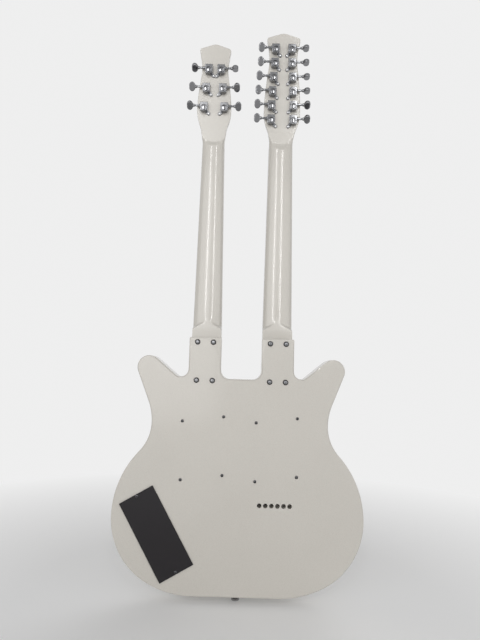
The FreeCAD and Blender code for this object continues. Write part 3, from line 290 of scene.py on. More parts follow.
# Heel: its level, and the arch whose flat narrows with the height to a tip
HEEL_LEVEL, HEEL_RISE, HEEL_LENGTH = 5.0, 1.7, 30
ARCH_Z, ARCH_LENGTH, ARCH_WIDTH, ARCH_TIP, ARCH_SLOPE = 465, 3.4, 1.06, 0.02, 0.32
ARCH_LOW_Z, ARCH_HIGH_Z, ARCH_FADE = 452, 500, 15
# Lowest height of each scoop, how far it climbs to the sides, and how long its slope is
SCOOPS = {"six": (811, 9, 9), "twelve": (806, 15, 13)}
SCOOP_LOW_Z, SCOOP_LEAD = 800, 2.5


def eased(share):
    """A smooth step from 0 to 1."""
    share = min(max(share, 0.0), 1.0)
    return share * share * (3 - 2 * share)


def rounded(share, power):
    """Half of a round cross-section: 1 in the middle, 0 at the sides."""
    return max(1 - abs(share) ** power, 0.0) ** (1 / power)


def neck_sides(label, z):
    """Half the neck's width and the depth of its front at a height."""
    low, high = [(a, b) for a, b in zip(WIDTHS[label], WIDTHS[label][1:]) if a[0] <= z <= b[0]][0]
    half = low[1] + (high[1] - low[1]) * (z - low[0]) / (high[0] - low[0])
    if z < FRONT_END_Z:
        return half, FRONT_DEPTH
    return half, max(FRONT_DEPTH - FRONT_STEP * (z - FRONT_END_Z),
                     HEAD_FRONT - HEAD_FRONT_SLOPE * (z - HEAD_LOW_Z))


def neck_back(label, across, z, half, front):
    """Depth of the neck's back at a share of the half width: 0 in the middle, 1 at the sides."""
    side = front - SIDE_STRIP
    crest = CREST + CREST_RISE * (z - HEEL_Z) / CREST_LENGTH
    depth = side - (side - crest) * rounded(across, ROUND_POWER)
    flat = ARCH_WIDTH / (1 + math.exp((z - ARCH_Z) / ARCH_LENGTH)) + ARCH_TIP
    level = HEEL_LEVEL + HEEL_RISE * eased((z - HEEL_Z) / HEEL_LENGTH)
    raised = 1.0
    if z > ARCH_LOW_Z:
        raised = 1 - eased((abs(across) - flat) / ARCH_SLOPE)
        raised *= eased((ARCH_HIGH_Z - z) / ARCH_FADE)
    depth = min(depth, depth + (level - depth) * raised)
    if z > SCOOP_LOW_Z:
        plate = HEAD_BACK - (z - HEAD_LOW_Z) * HEAD_BACK_SLOPE
        corner = max(abs(across) * half - half + HEAD_EDGE, 0)
        head = plate + HEAD_EDGE - math.sqrt(HEAD_EDGE ** 2 - corner ** 2)
        lowest, climb, slope = SCOOPS[label]
        depth += (head - depth) * eased((z - lowest - climb * across ** 2 + SCOOP_LEAD) / slope)
    return depth


def joined(name, pieces):
    """Several meshes made one."""
    choose(pieces[0])
    for piece in pieces:
        piece.select_set(True)
    bpy.ops.object.join()
    pieces[0].name = name
    return pieces[0]


# Rows of the shaft's mesh, close together at the arch and at the scoop, and its columns: over
# the back, then five for the front with its corners
heights = ([352, 400, 430] + [440 + step for step in range(60)]
           + [500 + 15.0 * step for step in range(20)] + [800 + 0.59 * step for step in range(61)])
ROWS = len(heights) - 1
ACROSS = 48
COLUMNS = ACROSS + 5
for label, centre in NECK_CENTRES.items():
    head = from_frame(f"neck_{label}", f"neck_wood_{label}")
    edit(head)
    bpy.ops.mesh.bisect(plane_co=(0, 0, HEAD_Z * MM), plane_no=(0, 0, 1), clear_inner=True)
    leave()
    rims = {key for key, normals in sharp_edges(head).items()
            if max(abs(normal.dot(HEAD_FLAT)) for normal in normals) > ALIGNED_COSINE}
    pick(head, "EDGE", [edge.key in rims for edge in head.data.edges])
    bpy.ops.mesh.bevel(offset=HEAD_EDGE * MM, segments=3, affect="EDGES", clamp_overlap=False)
    leave()
    bpy.ops.mesh.primitive_grid_add(x_subdivisions=COLUMNS, y_subdivisions=ROWS, size=1)
    shaft = bpy.context.active_object
    for vertex in shaft.data.vertices:
        column = round((vertex.co.x + 0.5) * COLUMNS)
        z = heights[round((vertex.co.y + 0.5) * ROWS)]
        half, front = neck_sides(label, z)
        if column <= ACROSS:
            across = math.sin(math.pi * (column / ACROSS - 0.5))
            spot = (across, neck_back(label, across, z, half, front))
        else:
            corner = HEAD_EDGE * eased((z - CORNER_Z) / CORNER_LENGTH)
            spot = ((1, front - corner), (1 - corner / half, front), (corner / half - 1, front),
                    (-1, front - corner),
                    (-1, neck_back(label, -1, z, half, front)))[column - ACROSS - 1]
        vertex.co = ((centre + half * spot[0]) * MM, spot[1] * MM, z * MM)
    edit(shaft)
    bpy.ops.mesh.remove_doubles(threshold=0.000002)
    leave()
    pick(shaft, "VERT", [vertex.co.z < (heights[0] + 1) * MM for vertex in shaft.data.vertices])
    bpy.ops.mesh.edge_face_add()
    leave()
    neck = joined(f"neck_wood_{label}", [head, shaft])
    edit(neck)
    bpy.ops.mesh.select_all(action="DESELECT")
    bpy.ops.mesh.select_non_manifold()
    bpy.ops.mesh.bridge_edge_loops()
    bpy.ops.mesh.select_all(action="SELECT")
    bpy.ops.mesh.normals_make_consistent(inside=False)
    leave()
    polish(neck, pearl, angle=40.0)
    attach(neck, "guitar")


# Fretboards: rosewood, glued to the necks, with small round pearl dots let into the front. The
# dots lie between the frets, two of them at the octave.
def bumped(material, height, strength, distance):
    """Raises the surface by a value that varies."""
    tree = material.node_tree
    feed(material, "Normal", Value.node(tree, "ShaderNodeBump", {},
                                        {"Height": height, "Strength": strength,
                                         "Distance": distance}))


rosewood = surface("rosewood", (0.09, 0.045, 0.025), 0.0, 0.45)
tree = rosewood.node_tree
grain = noise(tree, 160.0, 6.0, (1, 1, 0.04))
feed(rosewood, "Base Color", tinted(tree, grain, (0.045, 0.022, 0.013), (0.17, 0.09, 0.052)))
feed(rosewood, "Roughness", 0.38 + 0.2 * grain)
bumped(rosewood, grain, 0.25, 0.0003)
for label in ("six", "twelve"):
    board = from_frame(f"fretboard_{label}", f"board_wood_{label}")
    polish(board, rosewood, 0.0005, 2)
    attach(board, "guitar")

SADDLE_Z = 0.177
SCALE = 0.635
NUT_Z = SADDLE_Z + SCALE
NECK_X = 0.0646
DOT_FRETS = (3, 5, 7, 9, 12, 15, 17, 19, 21)
OCTAVE = 12
DOT_SPREAD = 0.0095
DOT_Y = 0.02985
FACING_FRONT = Matrix.Rotation(math.radians(-90), 4, "X")


def fret_height(number):
    """Height of a fret, by the rule that twelve of them halve the string."""
    return SADDLE_Z + SCALE * 2 ** (-number / OCTAVE)


def turned(name, outline, steps=32):
    """A piece turned round Z; its outline in mm runs from the foot to the top."""
    mesh = bpy.data.meshes.new(name)
    mesh.from_pydata([(r * MM, 0, h * MM) for r, h in outline],
                     [(i, i + 1) for i in range(len(outline) - 1)], [])
    piece = new_piece(name, mesh)
    edit(piece)
    bpy.ops.mesh.spin(steps=steps, angle=2 * math.pi, center=(0, 0, 0), axis=(0, 0, 1))
    bpy.ops.mesh.select_all(action="SELECT")
    bpy.ops.mesh.remove_doubles(threshold=0.0000005)
    bpy.ops.mesh.normals_make_consistent(inside=False)
    leave()
    return piece


def placed(source, name, place):
    """A copy with its own mesh at a place; a mirrored place turns the faces back outwards."""
    mesh = source.data.copy()
    mesh.transform(place)
    if place.determinant() < 0:
        mesh.flip_normals()
    return new_piece(name, mesh)


def copies(source, name, places):
    """Copies of one model at many places, joined; the model itself is taken away."""
    whole = joined(name, [placed(source, f"{name}_{n}", place) for n, place in enumerate(places)])
    bpy.data.objects.remove(source)
    return whole


shell = surface("dot_pearl", (0.72, 0.71, 0.68), 0.0, 0.25)
dot = turned("dot", [(0, 0), (3.0, 0), (3.0, 0.25), (2.8, 0.3), (0, 0.3)], 24)
dot_places = []
for side in (-1, 1):
    for number in DOT_FRETS:
        z = (fret_height(number) + fret_height(number - 1)) / 2
        for across in ((-DOT_SPREAD, DOT_SPREAD) if number == OCTAVE else (0.0,)):
            dot_places.append(Matrix.Translation((side * NECK_X + across, DOT_Y, z))
                              @ FACING_FRONT)
dots = copies(dot, "position_dots", dot_places)
polish(dots, shell)
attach(dots, "guitar")


# Frets and nuts: nickel silver wire with a rounded crown, and a plain metal bar as the nut. All
# the frets are one piece for the scene, and so are both nuts.
fret_wire = surface("fret_wire", (0.62, 0.61, 0.58), 1.0, 0.22)
frets = from_frame("frets", "fret_wires")
polish(frets, fret_wire, 0.0003, 2)
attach(frets, "guitar")
nut_metal = surface("nut_metal", (0.63, 0.63, 0.63), 1.0, 0.3)
nuts = from_frame("nuts", "nut_bars")
polish(nuts, nut_metal, 0.0005, 2)
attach(nuts, "guitar")


# Tuners: closed cast housings on the back of each head, held by the hexagon bush in front and
# by one small screw in the ear. Modelled once on the right and mirrored for the left.
# The chrome's colour is painted dark, a painted reflection of a dark room behind the camera; the
# stage round it is pale.
chrome = surface("chrome", (0.22, 0.222, 0.23), 1.0, 0.09)
feed(chrome, "Roughness", 0.05 + 0.09 * noise(chrome.node_tree, 220.0, 3.0))
HEAD_FACE_Y = 0.023
HEAD_THICK = 0.012


def on_head(x, along, out=0.0):
    """A point of a head: across, up from the nut and out from its front face."""
    return Vector((x, HEAD_FACE_Y - along * math.sin(HEAD_TILT) + out * math.cos(HEAD_TILT),
                   NUT_Z + along * math.cos(HEAD_TILT) + out * math.sin(HEAD_TILT)))


# Of each head: its middle and half its width, each row's share of it, the first row's distance
# from the nut and the pitch of the rows
TUNERS = {"six": (-NECK_X, 0.0323, (0.594, 0.483, 0.359), 0.067, 0.0356),
          "twelve": (NECK_X, 0.0342, (0.608, 0.599, 0.561, 0.526, 0.471, 0.444), 0.0465, 0.0267)}
tuner_list = []
for label, (centre, half, shares, first, pitch) in TUNERS.items():
    number = 0
    for side in (-1, 1):
        for row, share in enumerate(shares):
            number += 1
            place = Matrix.Translation(on_head(centre + side * half * share, first + pitch * row,
                                               -HEAD_THICK))
            place = place @ Matrix.Rotation(math.radians(90) + HEAD_TILT, 4, "X")
            if side < 0:
                place = place @ Matrix.Scale(-1, 4, (1, 0, 0))
            tuner_list.append((label, number, place))
tuner_places = [place for label, number, place in tuner_list]


def prism(name, outline, low, high, edge):
    """An outline in mm lifted between two levels, its edges rounded."""
    mesh = bpy.data.meshes.new(name)
    mesh.from_pydata([(x * MM, y * MM, low * MM) for x, y in outline], [],
                     [tuple(range(len(outline)))])
    piece = new_piece(name, mesh)
    edit(piece)
    bpy.ops.mesh.extrude_region_move(TRANSFORM_OT_translate={"value": (0, 0, (high - low) * MM)})
    bpy.ops.mesh.select_all(action="SELECT")
    bpy.ops.mesh.normals_make_consistent(inside=False)
    leave()
    ease_edges(piece, edge * MM, 3, 50)
    return piece


def lying(piece, place):
    """The piece with its mesh moved to a place."""
    piece.data.transform(place)
    return piece


ALONG_X = Matrix.Rotation(math.radians(90), 4, "Y")
# The casing in mm: half its width, the ends of its straight sides, the round end's height, and
# where the button's shaft comes out
CASING_HALF = 7.25
CASING_TOP, CASING_LOW, CASING_ROUND = 11.3, -1.8, 4.7
SHAFT_Y, SHAFT_LEVEL = 5.4 * MM, 5.0 * MM
EAR_X, EAR_Y, EAR_RADIUS, EAR_THICK = -8.9, -8.2, 3.1, 2.4
casing = prism("casing", [(-CASING_HALF, CASING_TOP), (-CASING_HALF, CASING_LOW)]
               + [(-CASING_HALF * math.cos(turn), CASING_LOW - CASING_ROUND * math.sin(turn))
                  for turn in [math.radians(15 * step) for step in range(1, 12)]]
               + [(CASING_HALF, CASING_LOW), (CASING_HALF, CASING_TOP)], 0, 9.0, 0.6)
cap = turned("gear_cap", [(0, 8.4), (6.3, 8.4), (6.3, 11.1), (5.8, 11.6), (5.3, 11.6), (5.1, 9.5),
                          (3.8, 9.5), (3.6, 11.4), (3.2, 11.6), (0, 11.6)], 40)
ear = prism("ear", [(-6.6, -1.0), (-9.6, -5.2)]
            + [(EAR_X + EAR_RADIUS * math.cos(turn), EAR_Y + EAR_RADIUS * math.sin(turn))
               for turn in [math.radians(120 + 20 * step) for step in range(11)]]
            + [(-1.5, -6.0), (0, -3.0)], 0, EAR_THICK, 0.4)
collar = lying(turned("collar", [(0, -1), (3.3, -1), (3.3, 1.4), (2.9, 1.9), (0, 1.9)], 24),
               Matrix.Translation((CASING_HALF * MM, SHAFT_Y, SHAFT_LEVEL)) @ ALONG_X)
casing = joined("casing", [casing, cap, ear, collar])
housings = copies(casing, "tuner_casings", tuner_places)
polish(housings, chrome, angle=30.0)
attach(housings, "guitar")
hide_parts("tuner_housings")

bush = turned("bush", [(3.05, -11.9), (6.6, -11.9), (6.6, -12.4), (6.2, -12.6), (3.05, -12.6),
                       (3.05, -11.9)], 32)
bpy.ops.mesh.primitive_cylinder_add(vertices=6, radius=5.5 * MM, depth=2.3 * MM,
                                    location=(0, 0, -13.25 * MM))
hexagon = bpy.context.active_object
bpy.ops.object.transform_apply(location=True, rotation=True, scale=True)
ease_edges(hexagon, 0.4 * MM, 2, 40)
bush = joined("bush", [bush, hexagon])
bushes = copies(bush, "head_bushes", tuner_places)
polish(bushes, chrome)
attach(bushes, "guitar")


# Tuner buttons and posts: a cast kidney-shaped button on its shaft, and a slotted post that the
# string is wound on. Each pair turns together, so each is a piece of its own.
def block(name, low, high):
    """A box between two corners in mm."""
    bpy.ops.mesh.primitive_cube_add(size=1, location=[(a + b) / 2 * MM for a, b in zip(low, high)])
    piece = bpy.context.active_object
    piece.name = name
    piece.scale = [(b - a) * MM for a, b in zip(low, high)]
    bpy.ops.object.transform_apply(location=True, rotation=False, scale=True)
    return piece


def cut(piece, cutter):
    """Takes the cutter's shape out of a piece."""
    add_modifier(piece, "BOOLEAN", operation="DIFFERENCE", object=cutter)
    bpy.data.objects.remove(cutter)


BUTTON_WIDE, BUTTON_TALL, BUTTON_THICK = 12.7, 17.0, 6.4
BUTTON_DENT = 1.1
BUTTON_GAP = 13.3
STEM_INSIDE = 3.3
COIL_WIRE, COIL_RADIUS, COIL_LEVEL, COIL_TURNS = 0.42, 3.05, -15.7, 4
string_metal = surface("wound_string", (0.50, 0.47, 0.42), 1.0, 0.35)
bpy.ops.mesh.primitive_cylinder_add(vertices=40, radius=BUTTON_TALL / 2 * MM,
                                    depth=BUTTON_THICK * MM)
grip = bpy.context.active_object
grip.scale = (BUTTON_WIDE / BUTTON_TALL, 1, 1)
bpy.ops.object.transform_apply(location=False, rotation=False, scale=True)
for vertex in grip.data.vertices:
    pinch = 1 - abs(vertex.co.y) / (BUTTON_TALL / 2 * MM)
    if vertex.co.x > 0:
        vertex.co.x -= BUTTON_DENT * MM * max(pinch, 0) ** 2
ease_edges(grip, 1.6 * MM, 4, 40)
lying(grip, Matrix.Translation(((CASING_HALF + BUTTON_GAP + BUTTON_WIDE / 2) * MM,
                                SHAFT_Y, SHAFT_LEVEL)))
stem = lying(turned("stem", [(0, 0.2), (2.1, 0.2), (2.1, 11.0), (1.8, 11.6), (1.8, 13.2),
                             (2.6, 14.2), (3.1, 16.0), (3.0, 18.0), (0, 18.0)], 24),
             Matrix.Translation(((CASING_HALF - STEM_INSIDE) * MM, SHAFT_Y, SHAFT_LEVEL))
             @ ALONG_X)
grip = joined("grip", [grip, stem])
post = turned("post", [(0, 3.9), (3.0, 3.9), (3.0, -14.5), (2.6, -16.1), (2.35, -17.5),
                       (2.6, -19.1), (3.0, -20.5), (3.0, -25.5), (2.7, -26.0), (0, -26.0)], 28)
cut(post, block("slit", (-4, -0.6, -27.5), (4, 0.6, -19.5)))
coils = []
for turn in range(COIL_TURNS):
    bpy.ops.mesh.primitive_torus_add(major_radius=COIL_RADIUS * MM, minor_radius=COIL_WIRE * MM,
                                     major_segments=32, minor_segments=8,
                                     location=(0, 0, (COIL_LEVEL - 2 * COIL_WIRE * turn) * MM))
    bpy.ops.object.transform_apply(location=True, rotation=True, scale=True)
    coils.append(bpy.context.active_object)
coil = joined("coil", coils)
# How far each button is turned at rest, in degrees
BUTTON_TURNS = {"six": (50, 25, 60, 40, 50, 85),
                "twelve": (10, 20, 5, 15, 10, 15, 55, 60, 85, 85, 85, 85)}
to_shaft = Matrix.Translation((0, SHAFT_Y, SHAFT_LEVEL))
for label, number, place in tuner_list:
    turn = Matrix.Rotation(math.radians(BUTTON_TURNS[label][number - 1]), 4, "X")
    button = placed(grip, f"key_{label}_{number}", place @ to_shaft @ turn @ to_shaft.inverted())
    polish(button, chrome)
    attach(button, f"tuner_button_{label}_{number}")
    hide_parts(f"tuner_button_{label}_{number}")
    peg = placed(post, f"peg_{label}_{number}", place)
    polish(peg, chrome)
    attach(peg, f"tuner_post_{label}_{number}")
    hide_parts(f"tuner_post_{label}_{number}")
    winding = placed(coil, f"winding_{label}_{number}", place)
    polish(winding, string_metal)
    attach(winding, f"tuner_post_{label}_{number}")
for piece in (grip, post, coil):
    bpy.data.objects.remove(piece)


# Screws: neck screws in cup washers, pickup height screws through the back, two cover screws and
# the small ones in the tuner ears, all round-headed with a cross cut.
def screw_head(name, radius, height, cross):
    """A domed head standing on Z with a cross cut in it."""
    head = turned(name, [(0, 0), (radius, 0), (radius, height * 0.35),
                         (radius * 0.9, height * 0.68), (radius * 0.68, height * 0.9),
                         (radius * 0.4, height), (0, height)], 32)
    narrow = cross * 0.18
    deep = cross * 0.45
    for a, b in ((cross, narrow), (narrow, cross)):
        cut(head, block("bar", (-a, -b, height - deep), (a, b, height + 1)))
    return head


FACING_BACK = Matrix.Rotation(math.radians(90), 4, "X")
NECK_SCREW_X = 0.014
NECK_SCREW_HEIGHTS = (0.4334, 0.3658)
CUP_OUT = 1.3 * MM
neck_screw_places = [(side * NECK_X + part * NECK_SCREW_X, z) for side in (-1, 1)
                     for part in (-1, 1) for z in NECK_SCREW_HEIGHTS]


def from_back(x, z, out):
    """The place of a piece that stands on the back, or a little out from it."""
    return Matrix.Translation((x, BACK_Y - out, z)) @ FACING_BACK


cup = turned("cup", [(2.4, 0), (4.9, 0), (4.9, 0.5), (4.5, 1.2), (4.0, 1.6), (3.4, 1.35),
                     (2.4, 0.9), (2.4, 0)], 36)
cups = copies(cup, "neck_screw_cups", [from_back(x, z, 0) for x, z in neck_screw_places])
# Cup washers and the small screw heads on the back are chrome painted near black, a painted dark
# reflection.
chrome_painted_black = surface("chrome_painted_black", (0.07, 0.07, 0.074), 1.0, 0.14)
polish(cups, chrome_painted_black)
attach(cups, "guitar")
heads = copies(screw_head("neck_head", 3.6, 2.4, 2.0), "neck_screw_heads",
               [from_back(x, z, CUP_OUT) for x, z in neck_screw_places])
polish(heads, chrome)
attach(heads, "guitar")
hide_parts("neck_screws")

PICKUP_HEIGHTS = (0.2988, 0.1983)
HEIGHT_SCREW_X, HEIGHT_SCREW_Z = 0.036, 0.0045
height_screws = [(side * NECK_X + way * HEIGHT_SCREW_X, z + way * HEIGHT_SCREW_Z)
                 for side in (-1, 1) for z in PICKUP_HEIGHTS for way in (-1, 1)]
small_heads = copies(screw_head("height_head", 2.7, 1.7, 1.5), "height_screw_heads",
                     [from_back(x, z, 0) for x, z in height_screws])
COVER_X, COVER_Z = -0.1386, 0.10215
COVER_LEAN = math.radians(30)
COVER_SCREW = 0.0717
COVER_THICK = 2.0 * MM


def on_cover(along):
    """A point of the cover's long middle line, measured up from its centre."""
    return COVER_X - along * math.sin(COVER_LEAN), COVER_Z + along * math.cos(COVER_LEAN)


cover_heads = copies(screw_head("cover_head", 3.0, 1.1, 1.4), "cover_screw_heads",
                     [from_back(*on_cover(way * COVER_SCREW), COVER_THICK) for way in (-1, 1)])
ear_place = Matrix.Translation((EAR_X * MM, EAR_Y * MM, EAR_THICK * MM))
ear_heads = copies(screw_head("ear_head", 1.9, 1.2, 1.1), "ear_screw_heads",
                   [place @ ear_place for place in tuner_places])
small_heads = joined("back_screw_heads", [small_heads, cover_heads])
polish(small_heads, chrome_painted_black)
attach(small_heads, "guitar")
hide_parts("back_screws")
polish(ear_heads, nut_metal)
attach(ear_heads, "guitar")


# Pickups: each a chromed tube closed at both ends, held by its two height screws. The plating on
# the front keeps a brighter colour; the tuners' chrome is painted darker, a painted reflection of
# a dark room behind the camera.
plating = surface("bright_chrome", (0.42, 0.422, 0.43), 1.0, 0.1)
feed(plating, "Roughness", 0.06 + 0.09 * noise(plating.node_tree, 220.0, 3.0))
pickups = from_frame("pickups", "pickup_tubes")
polish(pickups, plating, 0.0035, 6)
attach(pickups, "guitar")


# Bridges: a bent chromed plate with six saddles, each with two height screws and one that sets
# its length through the upright flange.
plates = from_frame("bridge_plates", "bridge_metal")
polish(plates, plating, 0.0003, 2)
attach(plates, "guitar")
saddles = from_frame("saddles", "saddle_blocks")
polish(saddles, plating, 0.0006, 3)
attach(saddles, "guitar")
setter = turned("setter", [(0, -3.0), (1.3, -3.0), (1.3, 3.2), (1.0, 3.6), (0, 3.6)], 16)
length_screw = turned("length_screw", [(0, -2.2), (2.3, -2.2), (2.3, -1.2), (1.9, -0.2), (1.4, 0),
                                       (1.4, 17.0), (0, 17.0)], 16)
BRIDGE_SPREAD = 0.0525
COURSES = 6
SETTER_X, SETTER_Y, SETTER_Z = 0.0033, 0.0278, 0.1735
LENGTH_X, LENGTH_Y, LENGTH_Z = 0.0029, 0.0251, 0.1522
set_places = []
length_places = []
for side in (-1, 1):
    for course in range(COURSES):
        x = side * NECK_X + BRIDGE_SPREAD * (course / (COURSES - 1) - 0.5)
        for way in (-1, 1):
            set_places.append(Matrix.Translation((x + way * SETTER_X, SETTER_Y, SETTER_Z))
                              @ FACING_FRONT)
        length_places.append(Matrix.Translation((x + LENGTH_X, LENGTH_Y, LENGTH_Z)))
set_screws = copies(setter, "saddle_set_screws", set_places)
length_screws = copies(length_screw, "saddle_length_screws", length_places)
saddle_screws = joined("saddle_screws", [set_screws, length_screws])
polish(saddle_screws, plating)
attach(saddle_screws, "guitar")


# Strings: plain and wound steel from the bridge over the saddles and the nut to the posts. The
# twelve-string neck has pairs, and one of each pair comes up through the body.
tree = string_metal.node_tree
ridges = Value.node(tree, "ShaderNodeTexWave", {"bands_direction": "Z"},
                    {"Vector": object_place(tree), "Scale": 900.0})
bumped(string_metal, ridges, 0.5, 0.00008)
THICKEST = 0.0006
STRING_SHARES = (0.24, 0.30, 0.40, 0.60, 0.80, 1.0)
OCTAVE_SHARES = (1.0, 1.0, 0.6, 0.5, 0.5, 0.5)
PAIR_HALF = 0.0012
NUT_SPREADS = {"six": 0.035, "twelve": 0.037}
# The way of a string: a hole through the body or a ball end in the bridge, saddle, nut, post
HOLE_Y, HOLE_Z, PLATE_Y = -0.014, 0.1535, 0.0228
ANCHOR_Y, ANCHOR_Z, BALL_Z = 0.0264, 0.1518, 0.1490
SADDLE_TOP, NUT_TOP, NUT_HALF = 0.034, 0.0322, 0.005
POST_RADIUS, POST_GAP, POST_OUT = 0.003, 0.00035, 0.005
runs = []
ball_places = []
for label, (centre, half, shares, first, pitch) in TUNERS.items():
    paths = []
    for course in range(COURSES):
        for member in ((-1, 1) if label == "twelve" else (0,)):
            thinner = OCTAVE_SHARES[course] if member > 0 else 1
            share = course / (COURSES - 1) - 0.5
            pair = member * PAIR_HALF
            paths.append((centre + BRIDGE_SPREAD * share + pair,
                          centre + NUT_SPREADS[label] * share + pair,
                          THICKEST * STRING_SHARES[course] * thinner, member < 0))
    for number, (saddle_x, nut_x, radius, through) in enumerate(paths):
        side = -1 if number < len(paths) / 2 else 1
        rank = number if side < 0 else len(paths) - 1 - number
        post_x = centre + side * half * shares[rank] - side * (POST_RADIUS + radius + POST_GAP)
        if through:
            start = [(saddle_x, HOLE_Y, HOLE_Z), (saddle_x, PLATE_Y + radius, HOLE_Z)]
        else:
            start = [(saddle_x, ANCHOR_Y, ANCHOR_Z)]
            ball_places.append(Matrix.Translation((saddle_x, ANCHOR_Y, BALL_Z)))
        runs.append((radius, start + [(saddle_x, SADDLE_TOP + radius, SADDLE_Z),
                                      (nut_x, NUT_TOP + radius, NUT_Z + NUT_HALF),
                                      tuple(on_head(post_x, first + pitch * rank, POST_OUT))]))
wires = []
for number, (radius, points) in enumerate(runs):
    curve = bpy.data.curves.new(f"wire_{number}", "CURVE")
    curve.dimensions = "3D"
    curve.bevel_depth = radius
    curve.bevel_resolution = 3
    curve.use_fill_caps = True
    spline = curve.splines.new("POLY")
    spline.points.add(len(points) - 1)
    for point, place in zip(spline.points, points):
        point.co = (*place, 1)
    choose(new_piece(f"wire_{number}", curve))
    bpy.ops.object.convert(target="MESH")
    wires.append(bpy.context.active_object)
wires = joined("string_wires", wires)
polish(wires, string_metal)
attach(wires, "guitar")
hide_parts("strings")
ball = turned("ball", [(0, -1.9), (1.2, -1.9), (1.9, -1.2), (1.9, 1.2), (1.2, 1.9), (0, 1.9)], 20)
balls = copies(ball, "string_ball_ends", ball_places)
brass = surface("ball_brass", (0.62, 0.45, 0.18), 1.0, 0.3)
polish(balls, brass)
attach(balls, "guitar")


# Controls on the front: two knobs over their pots, two bat switches and the jack, in one line
# over the cavity. Pots, switch bodies and the jack barrel hang inside.
steel = surface("plain_steel", (0.50, 0.50, 0.50), 1.0, 0.35)
insides = from_frame("pots_and_switches", "pots_and_switch_bodies")
polish(insides, steel, 0.0003, 2)
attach(insides, "guitar")
CONTROLS = ("pickup_switch", "neck_switch", "volume_knob", "tone_knob", "output_jack")
CONTROL_PITCH = 0.027
KNOB_Y = 0.0216
RIDGES, RIDGE_DEPTH = 36, 0.018
control_places = {name: on_cover((2 - number) * CONTROL_PITCH)
                  for number, name in enumerate(CONTROLS)}


def on_front(name, y=FRONT_Y):
    """The place of a control that stands on the front."""
    x, z = control_places[name]
    return Matrix.Translation((x, y, z)) @ FACING_FRONT


cream = surface("knob_cream", (0.70, 0.67, 0.58), 0.0, 0.3, Coat_Weight=0.3)
for name in ("volume_knob", "tone_knob"):
    knob = turned(name, [(0, 1.0), (4.8, 1.0), (4.8, 0), (12.2, 0), (12.5, 0.4), (12.5, 2.4),
                         (11.2, 3.0), (10.6, 14.2), (10.2, 15.4), (9.2, 16.0), (6.0, 16.0),
                         (5.6, 15.7), (0, 15.7)], 72)
    for vertex in knob.data.vertices:
        reach = math.hypot(vertex.co.x, vertex.co.y)
        if 2.7 * MM < vertex.co.z < 15.0 * MM and reach > 9 * MM:
            angle = math.atan2(vertex.co.y, vertex.co.x)
            ratio = 1 - RIDGE_DEPTH * (round(angle * RIDGES / math.pi) % 2)
            vertex.co.x *= ratio
            vertex.co.y *= ratio
    pointer = block("pointer", (-0.5, 3.0, 15.4), (0.5, 9.0, 16.0))
    knob = joined(f"{name}_cap", [knob, pointer])
    lying(knob, on_front(name, KNOB_Y))
    polish(knob, cream)
    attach(knob, name)
    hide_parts(name)
for name in ("pickup_switch", "neck_switch"):
    bat = turned(f"{name}_bat", [(0, -1.4), (1.0, -1.3), (1.4, 0), (1.3, 4.0), (1.45, 8.0),
                                 (2.2, 14.5), (2.55, 17.0), (2.1, 18.1), (1.1, 18.4),
                                 (0, 18.4)], 24)
    lying(bat, on_front(name))
    polish(bat, plating)
    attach(bat, name)
    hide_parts(name)
    ring = turned(f"{name}_ring", [(4.4, 0), (6.4, 0), (6.4, 1.4), (5.9, 1.8), (4.4, 1.8),
                                   (4.4, 0)], 32)
    lying(ring, on_front(name))
    polish(ring, plating)
    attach(ring, "guitar")
jack = turned("jack_socket", [(3.2, -23.0), (5.8, -23.0), (5.8, 0), (9.0, 0), (9.0, 1.0),
                              (8.6, 1.3), (6.2, 1.3), (6.2, 1.5), (5.2, 1.6), (3.5, 1.6),
                              (3.2, 1.4), (3.2, -23.0)], 48)
lying(jack, on_front("output_jack"))
polish(jack, plating)
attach(jack, "guitar")
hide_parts("output_jack")


# Strap buttons: turned metal with a screw through them, one on the bottom rim and one on the
# front of the horn.
HORN_X, HORN_Z = 0.1631, 0.387
button = turned("strap_button", [(0, 0), (6.0, 0), (6.0, 1.0), (5.2, 1.9), (3.9, 2.5), (3.6, 3.4),
                                 (3.6, 6.0), (4.1, 6.7), (6.6, 7.4), (7.2, 8.2), (7.2, 9.9),
                                 (6.8, 10.6), (5.8, 11.0), (3.4, 11.0), (3.2, 10.2),
                                 (0, 10.2)], 40)
cross = lying(screw_head("strap_head", 2.9, 1.2, 1.7), Matrix.Translation((0, 0, 9.75 * MM)))
button = joined("strap_button", [button, cross])
buttons = copies(button, "strap_button_pair",
                 [Matrix.Rotation(math.radians(180), 4, "X"),
                  Matrix.Translation((HORN_X, FRONT_Y, HORN_Z)) @ FACING_FRONT])
polish(buttons, plating)
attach(buttons, "guitar")
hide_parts("strap_buttons")


# Stage: a pale floor that runs into a backdrop of one tone with it, soft lamps, two of them thin
# strips for the streaks on the necks, and the photograph's camera. Only near the guitar does the
# floor take light and shadow.
PALE = (0.86, 0.86, 0.86)
FLOOR_Z = -0.0115
FLOOR_SIZE = 14
bpy.ops.mesh.primitive_plane_add(size=1, location=(0, 0, FLOOR_Z))
floor = bpy.context.active_object
floor.name = "floor"
edit(floor)
bpy.ops.transform.resize(value=(FLOOR_SIZE, FLOOR_SIZE, 1))
leave()
paper = surface("paper", PALE, 0.0, 0.9)
floor.data.materials.append(paper)


def seen(tree):
    """1 for rays that come from the camera or from a shiny or clear surface."""
    path = Value.node(tree, "ShaderNodeLightPath", {}, {})
    return (path.output("Is Camera Ray") + path.output("Is Glossy Ray")
            + path.output("Is Transmission Ray"))


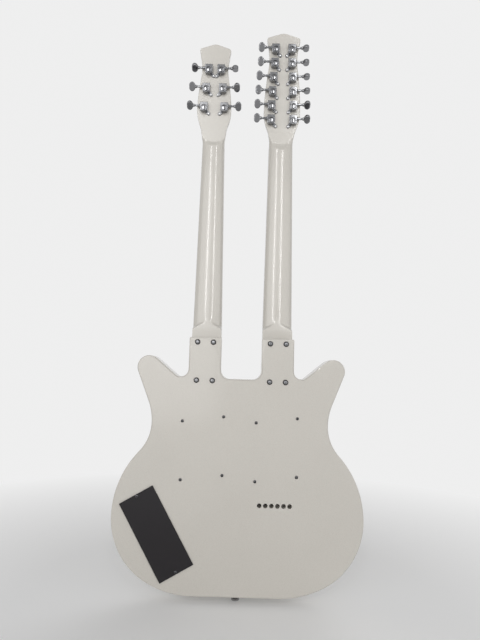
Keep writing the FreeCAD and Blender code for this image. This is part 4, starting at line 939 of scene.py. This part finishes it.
tree = paper.node_tree
spread = Value.node(tree, "ShaderNodeMapping", {},
                    {"Vector": object_place(tree), "Scale": (0.6, 0.6, 0.6)})
near = Value.node(tree, "ShaderNodeTexGradient", {"gradient_type": "SPHERICAL"},
                  {"Vector": spread})
glow = Value.node(tree, "ShaderNodeEmission", {}, {"Color": (*PALE, 1)})
lit = Value(tree, tree.nodes["Principled BSDF"].outputs[0])
mixed = Value.node(tree, "ShaderNodeMixShader", {},
                   {0: seen(tree) * (1.7 - 2.2 * near), 1: lit, 2: glow})
tree.links.new(mixed.socket, tree.nodes["Material Output"].inputs["Surface"])
world = bpy.data.worlds.new("studio")
bpy.context.scene.world = world
world.use_nodes = True
tree = world.node_tree
soft = Value.node(tree, "ShaderNodeBackground", {},
                  {"Color": (0.9, 0.9, 0.9, 1), "Strength": 0.45})
backdrop = Value.node(tree, "ShaderNodeBackground", {}, {"Color": (*PALE, 1)})
mixed = Value.node(tree, "ShaderNodeMixShader", {}, {0: seen(tree), 1: soft, 2: backdrop})
tree.links.new(mixed.socket, tree.nodes["World Output"].inputs["Surface"])
STRIP_LENGTH = 1.3
LAMP_AIM = Vector((0, 0, 0.45))
for name, place, size, power in (("key", (-1.3, -2.4, 0.6), 2.6, 27),
                                 ("fill", (1.8, -1.9, 0.5), 2.4, 14),
                                 ("front", (1.1, 2.6, 1.2), 2.6, 38),
                                 ("left_strip", (-0.5, -2.6, 1.35), 0.16, 8),
                                 ("right_strip", (0.45, -2.6, 1.35), 0.16, 8)):
    bpy.ops.object.light_add(type="AREA", location=place)
    lamp = bpy.context.active_object
    lamp.name = name
    lamp.data.size = size
    if "strip" in name:
        lamp.data.shape = "RECTANGLE"
        lamp.data.size_y = STRIP_LENGTH
    lamp.data.energy = power
    lamp.visible_glossy = name != "front"
    lamp.rotation_euler = (LAMP_AIM - Vector(place)).to_track_quat("-Z", "Y").to_euler()

CAMERA_TILT = math.radians(5.4)
CAMERA_ROLL = math.radians(1.56)
CAMERA_X, CAMERA_Y, CAMERA_Z = -0.0046, -0.9385, 0.3876
look = Vector((0, math.cos(CAMERA_TILT), math.sin(CAMERA_TILT)))
level_up = Vector((0, -math.sin(CAMERA_TILT), math.cos(CAMERA_TILT)))
up = level_up * math.cos(CAMERA_ROLL) - Vector((1, 0, 0)) * math.sin(CAMERA_ROLL)
right = look.cross(up)
bpy.ops.object.camera_add()
camera = bpy.context.active_object
camera.matrix_world = Matrix((
    (right.x, up.x, -look.x, CAMERA_X), (right.y, up.y, -look.y, CAMERA_Y),
    (right.z, up.z, -look.z, CAMERA_Z), (0, 0, 0, 1)))
camera.data.sensor_width = 36
camera.data.lens = 29.08
camera.data.clip_start = 0.01
bpy.context.scene.camera = camera
bpy.context.scene.view_settings.view_transform = "Standard"
